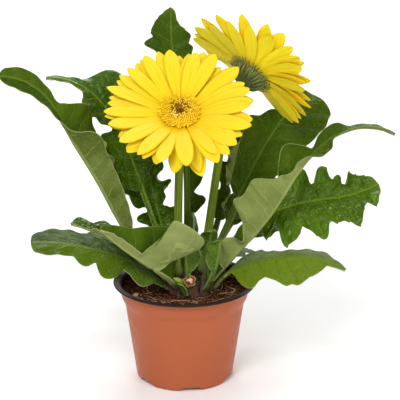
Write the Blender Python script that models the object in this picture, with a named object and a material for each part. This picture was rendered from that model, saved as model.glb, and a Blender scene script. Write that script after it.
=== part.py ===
"""Potted gerbera daisy: a nursery pot with soil, a crown, its leaves and two flowers.

Metres, +Z up. The origin is the middle of the pot's underside, and the front is towards -Y.
Sizes in the tables are millimetres and degrees, and MM turns them into metres.
"""

import bpy
import bmesh
import numpy as np
from mathutils import Matrix, Vector

MM = 0.001
GAP = 0.3 * MM

# Pot: thin moulded nursery pot, 120 mm across its rim
RIM_RADIUS = 60 * MM
POT_HEIGHT = 84.6 * MM
BODY_TOP_RADIUS = 50.3 * MM
BODY_TOP_LEVEL = 66.4 * MM
COLLAR_RADIUS = 53.4 * MM
COLLAR_LEVEL = 73 * MM
FOOT_RADIUS = 41.4 * MM
FOOT_LEVEL = 5 * MM
BASE_FLAT_RADIUS = 33 * MM
WALL = 1.2 * MM
FLOOR = 1.5 * MM
POT_SEGMENTS = 48
NOTCHES = 6
NOTCH_TURN = -82.5
NOTCH_HALF_WIDTH = 15.0
NOTCH_HEIGHT = 3 * MM
DRAIN_RADIUS = 3.5 * MM
DRAIN_RING = 22 * MM

# Soil and crown: the crown is the ball of leaf bases that every leaf and stalk grows from
SOIL_LEVEL = 76 * MM
CROWN_CENTRE = np.array([5.0, -2.0, 74.0]) * MM
CROWN_RADIUS = 21 * MM
CROWN_SEGMENTS = 16

# Leaves
LEAF_ROWS = 20
YOUNG_ROWS = 10
PETIOLE_HALF_WIDTH = 2.6 * MM
PETIOLE_HALF_THICKNESS = 2.0 * MM
LEAST_HALF_THICKNESS = 0.9 * MM
FOLD_FULL_WIDTH = 9 * MM

# Flowers
STALK_RADIUS_LOW = 3.6 * MM
STALK_RADIUS_TOP = 3.0 * MM
STALK_ROWS = 14
STALK_SIDES = 10
HUB_RADIUS = 13 * MM
HUB_TOP = 1.2 * MM
HUB_BOTTOM = -2.8 * MM
HEAD_DEPTH = 14 * MM
BRACT_RADIUS = 15 * MM
BRACT_TEETH = 12
DISC_RADIUS = 17 * MM
DISC_HEIGHT = 4.5 * MM
PETALS_A_LAYER = 18
PETAL_ROOT = 9 * MM
PETAL_HALF_THICKNESS = 0.5 * MM
PETAL_STATIONS = (0.0, 0.14, 0.36, 0.62, 0.88, 1.0)
PETAL_HALF_WIDTHS = (1.3, 2.2, 4.8, 6.6, 5.4, 1.2)
LAYER_DROP = 1.6 * MM
LAYER_OPENING = 3.0

TERRACOTTA = (0.42, 0.13, 0.07, 1)
PEAT = (0.035, 0.018, 0.010, 1)
CROWN_BROWN = (0.10, 0.09, 0.03, 1)
LEAF_GREEN = (0.045, 0.12, 0.015, 1)
YOUNG_GREEN = (0.10, 0.20, 0.03, 1)
STALK_GREEN = (0.13, 0.22, 0.03, 1)
BRACT_GREEN = (0.06, 0.12, 0.03, 1)
PETAL_YELLOW = (0.93, 0.68, 0.01, 1)
DISC_ORANGE = (0.75, 0.38, 0.02, 1)


def leaf(name, root, length, rise, head, petiole, left, right,
         fold_left=(10, 10), fold_right=(10, 10), curl_left=(0, 0), curl_right=(0, 0),
         roll=(0, 0), sweep=(10, 10), sweep_right=None):
    """One leaf. root: degrees round the crown and above its equator. rise and head: slope and
    heading of the midrib, evenly spaced from root to tip. petiole: its bare share. left and
    right: half widths of the blade, base to tip. fold: how far each half stands up. curl: how
    far its margin turns over from there. roll: the turn of the blade about its midrib. sweep:
    how far its lobes lean towards the tip, on the right half sweep_right where that is given."""
    return dict(
        name=name, root=root, length=length * MM, rise=rise, head=head, petiole=petiole,
        left=np.array(left) * MM, right=np.array(right) * MM,
        fold_left=fold_left, fold_right=fold_right, curl_left=curl_left, curl_right=curl_right,
        roll=roll, sweep_left=sweep, sweep_right=sweep_right or sweep,
    )


LEAVES = (
    leaf("leaf_left_tall", (195, 34), 236, (46, 51, 60, 65, 61, 60, 63, 38, 6),
         (186, 191, 196, 199, 201, 198, 194, 192, 191), 0.22,
         left=(6, 12, 15, 17, 19, 22, 9, 7, 8, 9, 5),
         right=(5, 8, 14, 20, 24, 28, 29, 8, 8, 10, 6),
         fold_left=(62, 64, 66, 65, 64, 60, 20, -20, -20, -5, 0), fold_right=(45, 50, 50, 60, 40, 10),
         roll=(0, 0, 0, 0, 0, -25, -55)),
    leaf("leaf_left_rear", (165, 45), 208, (67, 66, 68, 67, 58, 36, 0),
         (144, 148, 152, 154, 164, 178, 190), 0.36,
         left=(5, 26, 30, 34, 39, 30, 6, 13, 21, 19, 9, 4, 3, 3, 2),
         right=(5, 10, 22, 16, 26, 14, 22, 26, 28, 31, 18, 7, 4, 3, 2),
         fold_left=(10, 10, 10, 5, 10), fold_right=(10, 10, 10, 5, 0),
         curl_left=(20, 75, 115, 50, 0, 0, 0, 0), curl_right=(20, 60, 40, 20, 0, 0, 0),
         roll=(-10, -25, -40, -45, -20)),
    leaf("leaf_top", (105, 62), 219, (80, 78, 75, 73, 76), (95, 90, 118, 115, 85), 0.5,
         left=(6, 8, 10, 14, 16, 12, 10, 16, 18, 15, 14, 16, 15, 17, 24.5, 17, 17, 14.8, 10.8, 6.8, 2.5),
         right=(6, 8, 10, 14, 16, 12, 10, 16, 18, 15, 14, 16, 15, 18, 14, 16.5, 12.5, 8, 5, 4, 1.5),
         fold_left=(20, 20, 15, 10), fold_right=(20, 20, 15, 10)),
    leaf("leaf_right_rear", (40, 45), 186, (64, 52, 48, 40, 36), (12, 50, 50, 46, 40), 0.38,
         left=(6, 18, 20, 34, 30, 28, 18, 12, 6, 4, 2),
         right=(6, 14, 20, 26, 24, 30, 33, 36, 36, 31, 13),
         fold_left=(5, 10, 0, -20), fold_right=(5, 10, 15, 20), roll=(20, 30, 40, 40)),
    leaf("leaf_right_inner", (60, 48), 125, (58, 64, 70, 76, 80), (20, 50, 40, 20, 40), 0.36,
         left=(5, 8, 12, 6, 8, 17, 7, 10, 12, 8, 3),
         right=(6, 14, 9, 18, 10, 20, 11, 18, 12, 9, 3),
         fold_left=(20, 20), fold_right=(40, 40, 40, 30), curl_right=(30, 60, 80, 60),
         roll=(10, 20, 20)),
    leaf("leaf_right_tall", (-22, 32), 219, (54, 50, 61, 38, -21), (-10, -16, -20, -11, -8), 0.08,
         left=(6, 14, 16, 18, 15, 14, 28, 8, 14, 6, 6, 3),
         right=(10, 16, 17, 6, 14, 33, 29, 29, 28, 14, 9, 7, 12, 14, 13, 7, 5, 7, 6, 7, 3),
         fold_left=(45, 50, 50, 30, 35, 20), fold_right=(62, 64, 66, 66, 64, 58, 10, -35, 20, 50, 45),
         curl_left=(0, 0, 20, 90, 20, 0, 0), curl_right=(0, 10, 10, 30, 40, 10, 0, 0)),
    leaf("leaf_right_lobed", (12, 28), 170, (67, 48, 19, 6, 27), (0, 9, 9, 5, 5), 0.38,
         left=(5, 9, 12, 9, 14, 22, 20, 26, 28, 14, 27, 25, 16, 19, 11, 19, 16, 14, 12, 9, 5),
         right=(5, 17, 19, 6, 30, 33, 32, 20, 26, 34, 36, 24, 23, 24, 28, 30, 19, 13, 17, 11, 5),
         fold_left=(8, 8), fold_right=(5, 5), curl_left=(20, 40, 60, 30, 0), curl_right=(0, 10, 0),
         roll=(20, 45, 48, 40), sweep=(-16, -4, 10, 14, 12), sweep_right=(-28, -16, 0, 5, 10)),
    leaf("leaf_right_low", (-20, 18), 124, (60, 28, 14, -2, -32), (-25, -21, -14, -10, -9), 0.12,
         left=(6, 20, 25, 19, 14, 13, 14, 15, 14, 8, 3),
         right=(5, 3, 7, 21, 27, 28, 22, 18, 21, 25, 28, 27, 27, 24, 19, 16, 12, 6, 5, 4, 2),
         fold_left=(8, 0, -5, -5), fold_right=(-20, -25, -30, -20), roll=(0, 8, 8)),
    leaf("leaf_left_low", (205, 18), 130, (50, 36, 24, 14, 0), (201, 204, 199, 191, 191), 0.05,
         left=(8, 10, 14, 23, 27, 25, 17, 13, 26, 29, 27, 15, 20, 19, 13, 13, 14, 15, 15, 14, 9),
         right=(12, 16, 20, 22, 23, 23, 23, 22, 18, 7),
         fold_left=(-15, -20, -20, -10), fold_right=(5, 5, 0, 0), roll=(0, -10, -10)),
    leaf("leaf_front_left", (232, 28), 98, (44, 40, 38, 42, 48), (240, 226, 209, 202, 200), 0.06,
         left=(4, 4, 4, 4, 4, 4, 4, 12, 45, 47, 31, 10, 8, 8, 8, 8, 8, 7, 7, 5, 3),
         right=(8, 24, 36, 38, 30, 20, 14, 6),
         fold_left=(52, 56, 62, 72, 72, 70), fold_right=(72, 70, 58, 45),
         sweep=(-20, -20, -20, -20, -20, -20, -30, -32, -24, 12, 4, 0, 5, 5, 5, 5, 5, 5, 10, 10, 10),
         sweep_right=(-15, -15, 0, 10)),
    leaf("leaf_left_small", (172, 24), 96, (55, 42, 28, 20, 20), (172, 174, 176, 178, 180), 0.3,
         left=(5, 9, 12, 10, 12, 9, 7, 3), right=(5, 12, 15, 9, 16, 9, 11, 5),
         fold_left=(30, 30), fold_right=(30, 30)),
    leaf("leaf_inner_left", (138, 40), 124, (60, 66, 66, 60), (132, 130, 120, 112), 0.2,
         left=(4, 7, 16, 19, 9, 26, 33, 20, 9, 18, 16, 10, 3),
         right=(4, 7, 13, 16, 6, 12, 18, 8, 18, 21, 16, 10, 3),
         fold_left=(10, 10, 20), fold_right=(10, 10, 20),
         curl_left=(0, 20, 30, 60, 60, 50, 30), curl_right=(0, 20, 30, 50, 60, 60, 30),
         roll=(-15, -25)),
    leaf("leaf_back_right", (62, 28), 166, (56, 41, 38, 41, 26), (30, 49, 59, 50, 66), 0.3,
         left=(5, 18, 12, 24, 16, 28, 24, 18, 4), right=(5, 18, 12, 24, 16, 28, 24, 18, 4)),
    leaf("leaf_back_low", (95, 20), 112, (55, 8, -25, -34, -33), (88, 95, 99, 96, 90), 0.2,
         left=(5, 18, 12, 24, 16, 26, 22, 16, 4), right=(5, 18, 12, 24, 16, 26, 22, 16, 4),
         fold_left=(5, 0, -5), fold_right=(5, 0, -5)),
    leaf("leaf_back_left", (120, 24), 144, (62, 48, 44, 51, 61), (126, 124, 122, 123, 120), 0.3,
         left=(4, 4, 5, 12, 14, 24, 22, 16, 4), right=(4, 4, 5, 10, 14, 20, 22, 16, 4)),
    leaf("leaf_back_side", (30, 16), 131, (62, 36, 12, 11, 18), (41, 33, 28, 27, 28), 0.4,
         left=(4, 12, 10, 14, 12, 15, 14, 10, 3), right=(4, 12, 10, 14, 12, 15, 14, 10, 3),
         fold_left=(10, 5, 0), fold_right=(10, 5, 0), roll=(20, 30)),
    leaf("leaf_back_middle", (82, 40), 158, (78, 74, 68, 58, 44), (98, 102, 100, 96, 90), 0.3,
         left=(3, 3, 3, 3, 4, 8, 14, 18, 20, 18, 15, 11, 4),
         right=(4, 14, 4, 12, 10, 6, 14, 18, 20, 18, 16, 12, 4),
         fold_left=(20, 10, 5), fold_right=(20, 10, 5)),
    leaf("leaf_back_left_low", (148, 14), 110, (48, 18, 6, 2, -12), (146, 150, 154, 156, 158), 0.2,
         left=(5, 14, 9, 18, 11, 19, 17, 12, 4), right=(5, 14, 9, 18, 11, 19, 17, 12, 4),
         fold_left=(10, 5, 0), fold_right=(10, 5, 0), roll=(0, -10)),
    leaf("leaf_back_right_low", (52, 10), 114, (50, 12, -16, -30, -34), (52, 50, 46, 42, 40), 0.2,
         left=(5, 16, 10, 21, 13, 23, 20, 14, 4), right=(5, 16, 10, 21, 13, 23, 20, 14, 4),
         fold_left=(5, 0, -5), fold_right=(5, 0, -5)),
)

YOUNG_LEAVES = (
    leaf("young_front", (60, 70), 48, (88, 88, 88, 86), (120, 140, 160, 180), 0.5,
         left=(3, 6, 7, 7, 5, 3), right=(3, 6, 7, 7, 5, 3),
         fold_left=(20, 20), fold_right=(20, 20)),
    leaf("young_middle", (335, 48), 46, (85, 80, 74, 62), (-60, -65, -70, -60), 0.4,
         left=(3, 8, 7, 9, 7, 3), right=(3, 8, 7, 9, 7, 3),
         fold_left=(30, 30), fold_right=(50, 50)),
    leaf("young_right", (306, 24), 52, (58, 64, 74, 84), (-48, -44, -40, -36), 0.42,
         left=(3, 8, 11, 12, 10, 4), right=(3, 8, 11, 12, 10, 4),
         fold_left=(50, 50), fold_right=(50, 50), curl_left=(10, 40, 40), curl_right=(10, 40, 40)),
    leaf("young_foot", (262, 16), 15, (66, 60, 50, 40), (215, 210, 205, 200), 0.1,
         left=(3, 4, 5, 5, 4, 3), right=(3, 4, 5, 5, 4, 3), fold_left=(40, 40), fold_right=(40, 40)),
    leaf("young_centre", (268, 36), 36, (78, 80, 82, 84), (230, 225, 220, 215), 0.35,
         left=(3, 9, 12, 13, 11, 6), right=(3, 8, 11, 12, 10, 6),
         fold_left=(30, 30), fold_right=(30, 30), roll=(10, 20)),
)

# Each flower: its disc's place, the way it faces, its petals' reach, and its stalk's root and
# handles. cup: the petals' rise. saddle: how much of it two opposite ends lose, at saddle_at.
# tilt: how much more the petals rise on the side at tilt_at. droop: how much lower the back
# layer hangs within 15 degrees of droop_at.
FLOWERS = (
    dict(name="front", centre=(-3.1, -14, 233.2), axis=(-0.02, -0.588, 0.808), reach=65.5,
         cup=13, saddle=0, saddle_at=0, tilt=0, tilt_at=0, droop=14, droop_at=-80,
         stalk_root=(190, 60), lean=(0.0, 0.10, 1.0),
         handles=(90, 20), seed=3),
    dict(name="rear", centre=(57, 44, 254), axis=(0.599, 0.579, 0.556), reach=64,
         cup=12, saddle=14, saddle_at=48, tilt=6, tilt_at=-42, droop=0, droop_at=0,
         stalk_root=(22, 60), lean=(0.16, 0.14, 0.98),
         handles=(80, 30), seed=8),
)


def clear_scene():
    for thing in list(bpy.data.objects):
        bpy.data.objects.remove(thing, do_unlink=True)


def principled(name, colour, roughness):
    made = bpy.data.materials.new(name)
    made.use_nodes = True
    shader = made.node_tree.nodes["Principled BSDF"]
    shader.inputs["Base Color"].default_value = colour
    shader.inputs["Roughness"].default_value = roughness
    shader.inputs["Metallic"].default_value = 0.0
    return made


def add_object(name, points, faces, colour, roughness=0.6, smooth=True):
    """An object from points and faces, its faces turned outward."""
    mesh = bpy.data.meshes.new(name)
    mesh.from_pydata([tuple(float(c) for c in p) for p in points], [], faces)
    shaped = bmesh.new()
    shaped.from_mesh(mesh)
    bmesh.ops.recalc_face_normals(shaped, faces=shaped.faces)
    shaped.to_mesh(mesh)
    shaped.free()
    if smooth:
        mesh.shade_smooth()
    mesh.materials.append(principled(name, colour, roughness))
    made = bpy.data.objects.new(name, mesh)
    bpy.context.scene.collection.objects.link(made)
    return made


def unit(v):
    return v / np.linalg.norm(v, axis=-1, keepdims=True)


def smooth_at(values, share):
    """Values that are evenly spaced over 0 to 1, read at each share along a smooth curve."""
    values = np.asarray(values, float)
    last = len(values) - 1
    place = np.clip(share, 0, 1) * last
    low = np.minimum(place.astype(int), last - 1)
    part = place - low
    before, start = values[np.maximum(low - 1, 0)], values[low]
    end, after = values[low + 1], values[np.minimum(low + 2, last)]
    leave, arrive = (end - before) / 2, (after - start) / 2
    return (
        (2 * part**3 - 3 * part**2 + 1) * start
        + (part**3 - 2 * part**2 + part) * leave
        + (3 * part**2 - 2 * part**3) * end
        + (part**3 - part**2) * arrive
    )


def outward(around, level):
    """The way from the crown's centre to a point on it."""
    around, level = np.radians(around), np.radians(level)
    return np.array([
        np.cos(level) * np.cos(around), np.cos(level) * np.sin(around), np.sin(level)
    ])


def midrib(shape, share):
    """Points along the midrib from the crown's centre on, with its way and its heading."""
    fine = np.linspace(0, 1, 121)
    rise = np.radians(smooth_at(shape["rise"], fine))
    head = np.radians(smooth_at(shape["head"], fine))
    way = np.stack([np.cos(rise) * np.cos(head), np.cos(rise) * np.sin(head), np.sin(rise)], -1)
    steps = (way[1:] + way[:-1]) / 2 * shape["length"] / (len(fine) - 1)
    line = np.vstack([np.zeros(3), np.cumsum(steps, 0)])
    points = np.stack([np.interp(share, fine, line[:, k]) for k in range(3)], -1)
    ways = unit(np.stack([np.interp(share, fine, way[:, k]) for k in range(3)], -1))
    return points, ways, np.interp(share, fine, head)


def leaf_sheet(shape, rows, columns):
    """The leaf's middle surface as a grid, rows from root to tip and columns from right to
    left, with the share of the blade that each row has reached."""
    bare = 2 + int(5 * shape["petiole"])
    share = np.concatenate([
        np.linspace(0, shape["petiole"], bare, endpoint=False),
        np.linspace(shape["petiole"], 1, rows - bare),
    ])
    points, ways, head = midrib(shape, share)
    flat = np.stack([-np.sin(head), np.cos(head), np.zeros(rows)], -1)
    above = np.cross(ways, flat)
    roll = np.radians(smooth_at(shape["roll"], share))[:, None]
    side = flat * np.cos(roll) + above * np.sin(roll)
    above = above * np.cos(roll) - flat * np.sin(roll)
    blade = np.clip((share - shape["petiole"]) / (1 - shape["petiole"]), 0, 1)
    grid = np.zeros((rows, 2 * columns + 1, 3))
    grid[:, columns] = points
    for turn, half in ((1, "left"), (-1, "right")):
        least = PETIOLE_HALF_WIDTH * (1 - 0.6 * blade)
        width = np.where(blade > 0, np.maximum(smooth_at(shape[half], blade), least), least)
        opened = np.clip((width - least) / FOLD_FULL_WIDTH, 0, 1)
        fold = np.radians(smooth_at(shape["fold_" + half], blade)) * opened
        curl = np.radians(smooth_at(shape["curl_" + half], blade)) * opened
        sweep = np.tan(np.radians(smooth_at(shape["sweep_" + half], blade)))[:, None]
        forward = ways * sweep * opened[:, None]
        for step in range(1, columns + 1):
            from_midrib = (step - 0.5) / columns
            bent = (fold + curl * from_midrib**2)[:, None]
            stride = (width / columns)[:, None]
            grid[:, columns + turn * step] = grid[:, columns + turn * (step - 1)] + stride * (
                turn * side * np.cos(bent) + above * np.sin(bent) + forward)
    return grid, blade


def grid_normals(grid):
    along = np.gradient(grid, axis=0)
    across = np.gradient(grid, axis=1)
    return unit(np.cross(along, across))


def leaf_solid(shape, rows, colour):
    """A leaf as one closed body: its sheet made thick, rooted just clear of the crown."""
    columns = 2
    grid, blade = leaf_sheet(shape, rows, columns)
    normals = grid_normals(grid)
    sheet_half = max(LEAST_HALF_THICKNESS, shape["length"] / 200)
    taper = np.clip(1 - blade / 0.5, 0, 1)[:, None]
    rib = np.array([0.0, 0.5, 1.0, 0.5, 0.0])[None, :]
    petiole_half = PETIOLE_HALF_THICKNESS * (0.35 + 0.65 * rib)
    half = sheet_half * (1 + 0.3 * rib) * (1 - taper) + petiole_half * taper
    top = grid + normals * half[..., None]
    bottom = grid - normals * half[..., None]
    ring = np.concatenate([top, bottom[:, ::-1]], axis=1)
    radial = outward(*shape["root"])
    ring = ring + radial * seat(ring[0], radial)
    return add_object(shape["name"], ring.reshape(-1, 3), tube_faces(rows, ring.shape[1]), colour)


def seat(root_ring, radial):
    """How far out along radial, from the crown's centre, a root's ring has to lie to clear
    the crown by the gap. The ring's points are given about the crown's centre."""
    least = CROWN_RADIUS + GAP
    along = root_ring @ radial
    beside = np.sum(root_ring**2, axis=1) - along**2
    return np.max(np.sqrt(np.maximum(least**2 - beside, 0)) - along)


def tube_faces(rows, around):
    """Faces of rings joined one after another and closed at both ends."""
    faces = []
    for row in range(rows - 1):
        for k in range(around):
            here, nextly = row * around + k, row * around + (k + 1) % around
            faces.append((here, nextly, nextly + around, here + around))
    faces.append(tuple(range(around))[::-1])
    faces.append(tuple(range((rows - 1) * around, rows * around)))
    return faces


def turned_points(profile, segments, raise_foot=None):
    """A profile of (radius, level) turned round Z. raise_foot(degrees) lifts marked levels."""
    points = []
    for radius, level, lifted in profile:
        for k in range(segments):
            angle = 2 * np.pi * k / segments
            lift = raise_foot(np.degrees(angle)) * lifted if raise_foot else 0
            points.append((radius * np.cos(angle), radius * np.sin(angle), level + lift))
    return points


def notch_lift(degrees):
    """Height of the foot's notch at an angle: flat in its middle, with sloped sides."""
    between = 360 / NOTCHES
    off = abs((degrees - NOTCH_TURN + between / 2) % between - between / 2)
    slope = NOTCH_HALF_WIDTH / 2
    return NOTCH_HEIGHT * np.clip((NOTCH_HALF_WIDTH - off) / slope, 0, 1)


def make_pot():
    """The pot's shell, up its outer side and down its inner side, with drain holes cut."""
    corner = FOOT_RADIUS - 1.9 * MM
    outer = [
        (BASE_FLAT_RADIUS, 0, 0),
        (corner, 0, 1),
        (FOOT_RADIUS - 0.6 * MM, 2 * MM, 0.45),
        (FOOT_RADIUS, FOOT_LEVEL, 0),
        (BODY_TOP_RADIUS, BODY_TOP_LEVEL, 0),
        (COLLAR_RADIUS - 0.5 * MM, COLLAR_LEVEL - 1.5 * MM, 0),
        (COLLAR_RADIUS, COLLAR_LEVEL, 0),
        (COLLAR_RADIUS + 1 * MM, POT_HEIGHT - 4.2 * MM, 0),
        (COLLAR_RADIUS + 3 * MM, POT_HEIGHT - 2.2 * MM, 0),
        (RIM_RADIUS, POT_HEIGHT - 1.4 * MM, 0),
        (RIM_RADIUS, POT_HEIGHT, 0),
    ]
    inner = [
        (COLLAR_RADIUS + 1.6 * MM, POT_HEIGHT - 0.4 * MM, 0),
        (COLLAR_RADIUS - WALL + 0.8 * MM, POT_HEIGHT - 3 * MM, 0),
        (COLLAR_RADIUS - WALL, COLLAR_LEVEL, 0),
        (BODY_TOP_RADIUS - WALL, BODY_TOP_LEVEL, 0),
        (FOOT_RADIUS - WALL - 0.3 * MM, FOOT_LEVEL + 0.6 * MM, 0),
        (BASE_FLAT_RADIUS + 1.5 * MM, FLOOR, 0),
    ]
    profile = outer + inner
    points = turned_points(profile, POT_SEGMENTS, notch_lift)
    faces = tube_faces(len(profile), POT_SEGMENTS)
    pot = add_object("pot", points, faces, TERRACOTTA, 0.5)
    cutter = make_drain_cutter()
    cut = pot.modifiers.new("drain_holes", "BOOLEAN")
    cut.operation = "DIFFERENCE"
    cut.solver = "EXACT"
    cut.object = cutter
    return pot


def make_drain_cutter():
    """Six short pegs through the pot's floor, as one guide that isn't part of the model."""
    pegs = bmesh.new()
    for k in range(NOTCHES):
        angle = np.radians(NOTCH_TURN + 360 / NOTCHES * k)
        place = Vector((DRAIN_RING * np.cos(angle), DRAIN_RING * np.sin(angle), FLOOR / 2))
        bmesh.ops.create_cone(
            pegs, cap_ends=True, segments=10, radius1=DRAIN_RADIUS, radius2=DRAIN_RADIUS,
            depth=3 * FLOOR, matrix=Matrix.Translation(place))
    mesh = bpy.data.meshes.new("drain_guide")
    pegs.to_mesh(mesh)
    pegs.free()
    cutter = bpy.data.objects.new("drain_guide", mesh)
    bpy.context.scene.collection.objects.link(cutter)
    cutter.hide_render = True
    cutter.display_type = "WIRE"
    return cutter


def make_soil():
    """Soil that fills the pot, a gap clear of its inner wall."""
    profile = [
        (BASE_FLAT_RADIUS + 1.2 * MM, FLOOR + GAP, 0),
        (FOOT_RADIUS - WALL - 0.8 * MM, FOOT_LEVEL + 1.4 * MM, 0),
        (BODY_TOP_RADIUS - WALL - 0.4 * MM, BODY_TOP_LEVEL, 0),
        (COLLAR_RADIUS - WALL - 0.4 * MM, COLLAR_LEVEL + 0.2 * MM, 0),
        (COLLAR_RADIUS - WALL - 0.3 * MM, SOIL_LEVEL, 0),
    ]
    points = turned_points(profile, POT_SEGMENTS)
    add_object("soil", points, tube_faces(len(profile), POT_SEGMENTS), PEAT, 0.95)


def make_crown():
    """A ball cut flat where it stands on the soil."""
    base = SOIL_LEVEL + GAP - CROWN_CENTRE[2]
    levels = np.linspace(np.arcsin(base / CROWN_RADIUS), np.radians(78), 6)
    profile = [(CROWN_RADIUS * np.cos(a), CROWN_RADIUS * np.sin(a), 0) for a in levels]
    points = np.array(turned_points(profile, CROWN_SEGMENTS)) + CROWN_CENTRE
    add_object("crown", points, tube_faces(len(profile), CROWN_SEGMENTS), CROWN_BROWN, 0.8)


def head_matrix(flower):
    """Place and turn of a flower's head: its own Z is the way that it faces."""
    facing = Vector(flower["axis"]).normalized()
    sideways = Vector((0, 0, 1)).cross(facing).normalized()
    upward = facing.cross(sideways)
    turn = Matrix((sideways, upward, facing)).transposed().to_4x4()
    return Matrix.Translation(Vector(flower["centre"]) * MM) @ turn


def petal_solid(flower, angle, reach, layer):
    """One petal as points and faces in the head's own frame: a thin lens along a bent line."""
    saddle = flower["saddle"] * np.cos(2 * (angle - np.radians(flower["saddle_at"])))
    tilt = flower["tilt"] * np.cos(angle - np.radians(flower["tilt_at"]))
    rise = flower["cup"] - saddle + tilt - layer * LAYER_OPENING
    if layer and np.cos(angle - np.radians(flower["droop_at"])) > np.cos(np.radians(15)):
        rise -= flower["droop"]
    rise = np.radians(rise)
    drop = layer * LAYER_DROP
    out = np.array([np.cos(angle), np.sin(angle), 0])
    beside = np.array([-np.sin(angle), np.cos(angle), 0])
    upward = np.array([0, 0, 1.0])
    points = []
    for share, half_width in zip(PETAL_STATIONS, PETAL_HALF_WIDTHS):
        distance = PETAL_ROOT + (reach - PETAL_ROOT) * share
        beyond = max(0.0, distance - HUB_RADIUS)
        flat = min(distance, HUB_RADIUS)
        middle = out * (flat + beyond * np.cos(rise)) + upward * (beyond * np.sin(rise) - drop)
        width = beside * half_width * MM
        thick = upward * PETAL_HALF_THICKNESS
        points += [middle - width, middle - thick, middle + width, middle + thick]
    return points, tube_faces(len(PETAL_STATIONS), 4)


def make_rays(flower):
    """The ring of petals, each joined into the hub that carries them by one union."""
    matrix = head_matrix(flower)
    reach = flower["reach"] * MM
    chance = np.random.default_rng(flower["seed"])
    profile = [(HUB_RADIUS, HUB_BOTTOM, 0), (HUB_RADIUS, HUB_TOP, 0)]
    name = "rays_" + flower["name"]
    hub = add_object(name, turned_points(profile, 24), tube_faces(2, 24), PETAL_YELLOW, 0.5)
    loose = bpy.data.collections.new(name + "_petals")
    bpy.context.scene.collection.children.link(loose)
    for layer in range(2):
        for k in range(PETALS_A_LAYER):
            angle = 2 * np.pi * (k + layer / 2) / PETALS_A_LAYER
            length = reach * (1 - 0.04 * layer) * chance.uniform(0.89, 1.0)
            points, faces = petal_solid(flower, angle, length, layer)
            petal = add_object(f"{name}_petal_{layer}_{k}", points, faces, PETAL_YELLOW, 0.5)
            bpy.context.scene.collection.objects.unlink(petal)
            loose.objects.link(petal)
    join = hub.modifiers.new("petals", "BOOLEAN")
    join.operation = "UNION"
    join.operand_type = "COLLECTION"
    join.solver = "MANIFOLD"
    join.collection = loose
    apply_modifiers(hub)
    for petal in list(loose.objects):
        bpy.data.objects.remove(petal, do_unlink=True)
    bpy.data.collections.remove(loose)
    hub.matrix_world = matrix
    return hub


def apply_modifiers(thing):
    evaluated = thing.evaluated_get(bpy.context.evaluated_depsgraph_get())
    mesh = bpy.data.meshes.new_from_object(evaluated)
    thing.modifiers.clear()
    thing.data = mesh


def make_bracts(flower):
    """The green cup under the petals, with a toothed rim."""
    rim = HUB_BOTTOM - GAP
    segments = 2 * BRACT_TEETH
    points = []
    for radius, level in ((3.6, -HEAD_DEPTH / MM), (9, -HEAD_DEPTH / MM + 1.5), (13, -8.0)):
        for k in range(segments):
            angle = 2 * np.pi * k / segments
            points.append((radius * MM * np.cos(angle), radius * MM * np.sin(angle), level * MM))
    for k in range(segments):
        angle = 2 * np.pi * k / segments
        radius = BRACT_RADIUS - (k % 2) * 1.8 * MM
        points.append((radius * np.cos(angle), radius * np.sin(angle), rim - 1.2 * MM))
    for k in range(segments):
        angle = 2 * np.pi * k / segments
        radius = HUB_RADIUS - 1 * MM
        points.append((radius * np.cos(angle), radius * np.sin(angle), rim))
    bracts = add_object(
        "bracts_" + flower["name"], points, tube_faces(5, segments), BRACT_GREEN, 0.7)
    bracts.matrix_world = head_matrix(flower)


def make_disc(flower):
    """The crowded florets in the middle, as one low dome with a dip."""
    base = HUB_TOP + GAP
    profile = [
        (HUB_RADIUS - 1 * MM, base, 0),
        (DISC_RADIUS - 1.5 * MM, base + 1.2 * MM, 0),
        (DISC_RADIUS - 1.5 * MM, base + 2.6 * MM, 0),
        (0.6 * DISC_RADIUS, base + DISC_HEIGHT, 0),
        (0.3 * DISC_RADIUS, base + 0.6 * DISC_HEIGHT, 0),
    ]
    disc = add_object(
        "disc_" + flower["name"], turned_points(profile, 24), tube_faces(len(profile), 24),
        DISC_ORANGE, 0.8)
    disc.matrix_world = head_matrix(flower)


def make_stalk(flower):
    """The stalk: a tapering tube on a curve from the crown to the underside of the head."""
    facing = np.array(Vector(flower["axis"]).normalized())
    radial = outward(*flower["stalk_root"])
    lean = unit(np.array(flower["lean"]))
    low, high = np.array(flower["handles"]) * MM
    start = CROWN_CENTRE + radial * (CROWN_RADIUS + GAP)
    start = start + lean * STALK_RADIUS_LOW * np.sqrt(1 - (radial @ lean) ** 2)
    end = np.array(flower["centre"]) * MM - facing * (HEAD_DEPTH + GAP)
    share = np.linspace(0, 1, STALK_ROWS)[:, None]
    line = (
        start * (1 - share) ** 3
        + 3 * (start + lean * low) * share * (1 - share) ** 2
        + 3 * (end - facing * high) * share**2 * (1 - share)
        + end * share**3
    )
    ways = unit(np.gradient(line, axis=0))
    ways[0], ways[-1] = lean, facing
    sideways = unit(np.cross(ways, np.array([0.0, 1.0, 0.1])))
    upward = np.cross(sideways, ways)
    angles = 2 * np.pi * np.arange(STALK_SIDES) / STALK_SIDES
    radius = STALK_RADIUS_LOW + (STALK_RADIUS_TOP - STALK_RADIUS_LOW) * share
    ring = (
        line[:, None]
        + radius[:, None] * sideways[:, None] * np.cos(angles)[None, :, None]
        + radius[:, None] * upward[:, None] * np.sin(angles)[None, :, None]
    )
    faces = tube_faces(STALK_ROWS, STALK_SIDES)
    add_object("stalk_" + flower["name"], ring.reshape(-1, 3), faces, STALK_GREEN, 0.5)


def place_leaf(shape, rows, colour):
    made = leaf_solid(shape, rows, colour)
    made.data.transform(Matrix.Translation(Vector(CROWN_CENTRE)))


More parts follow.
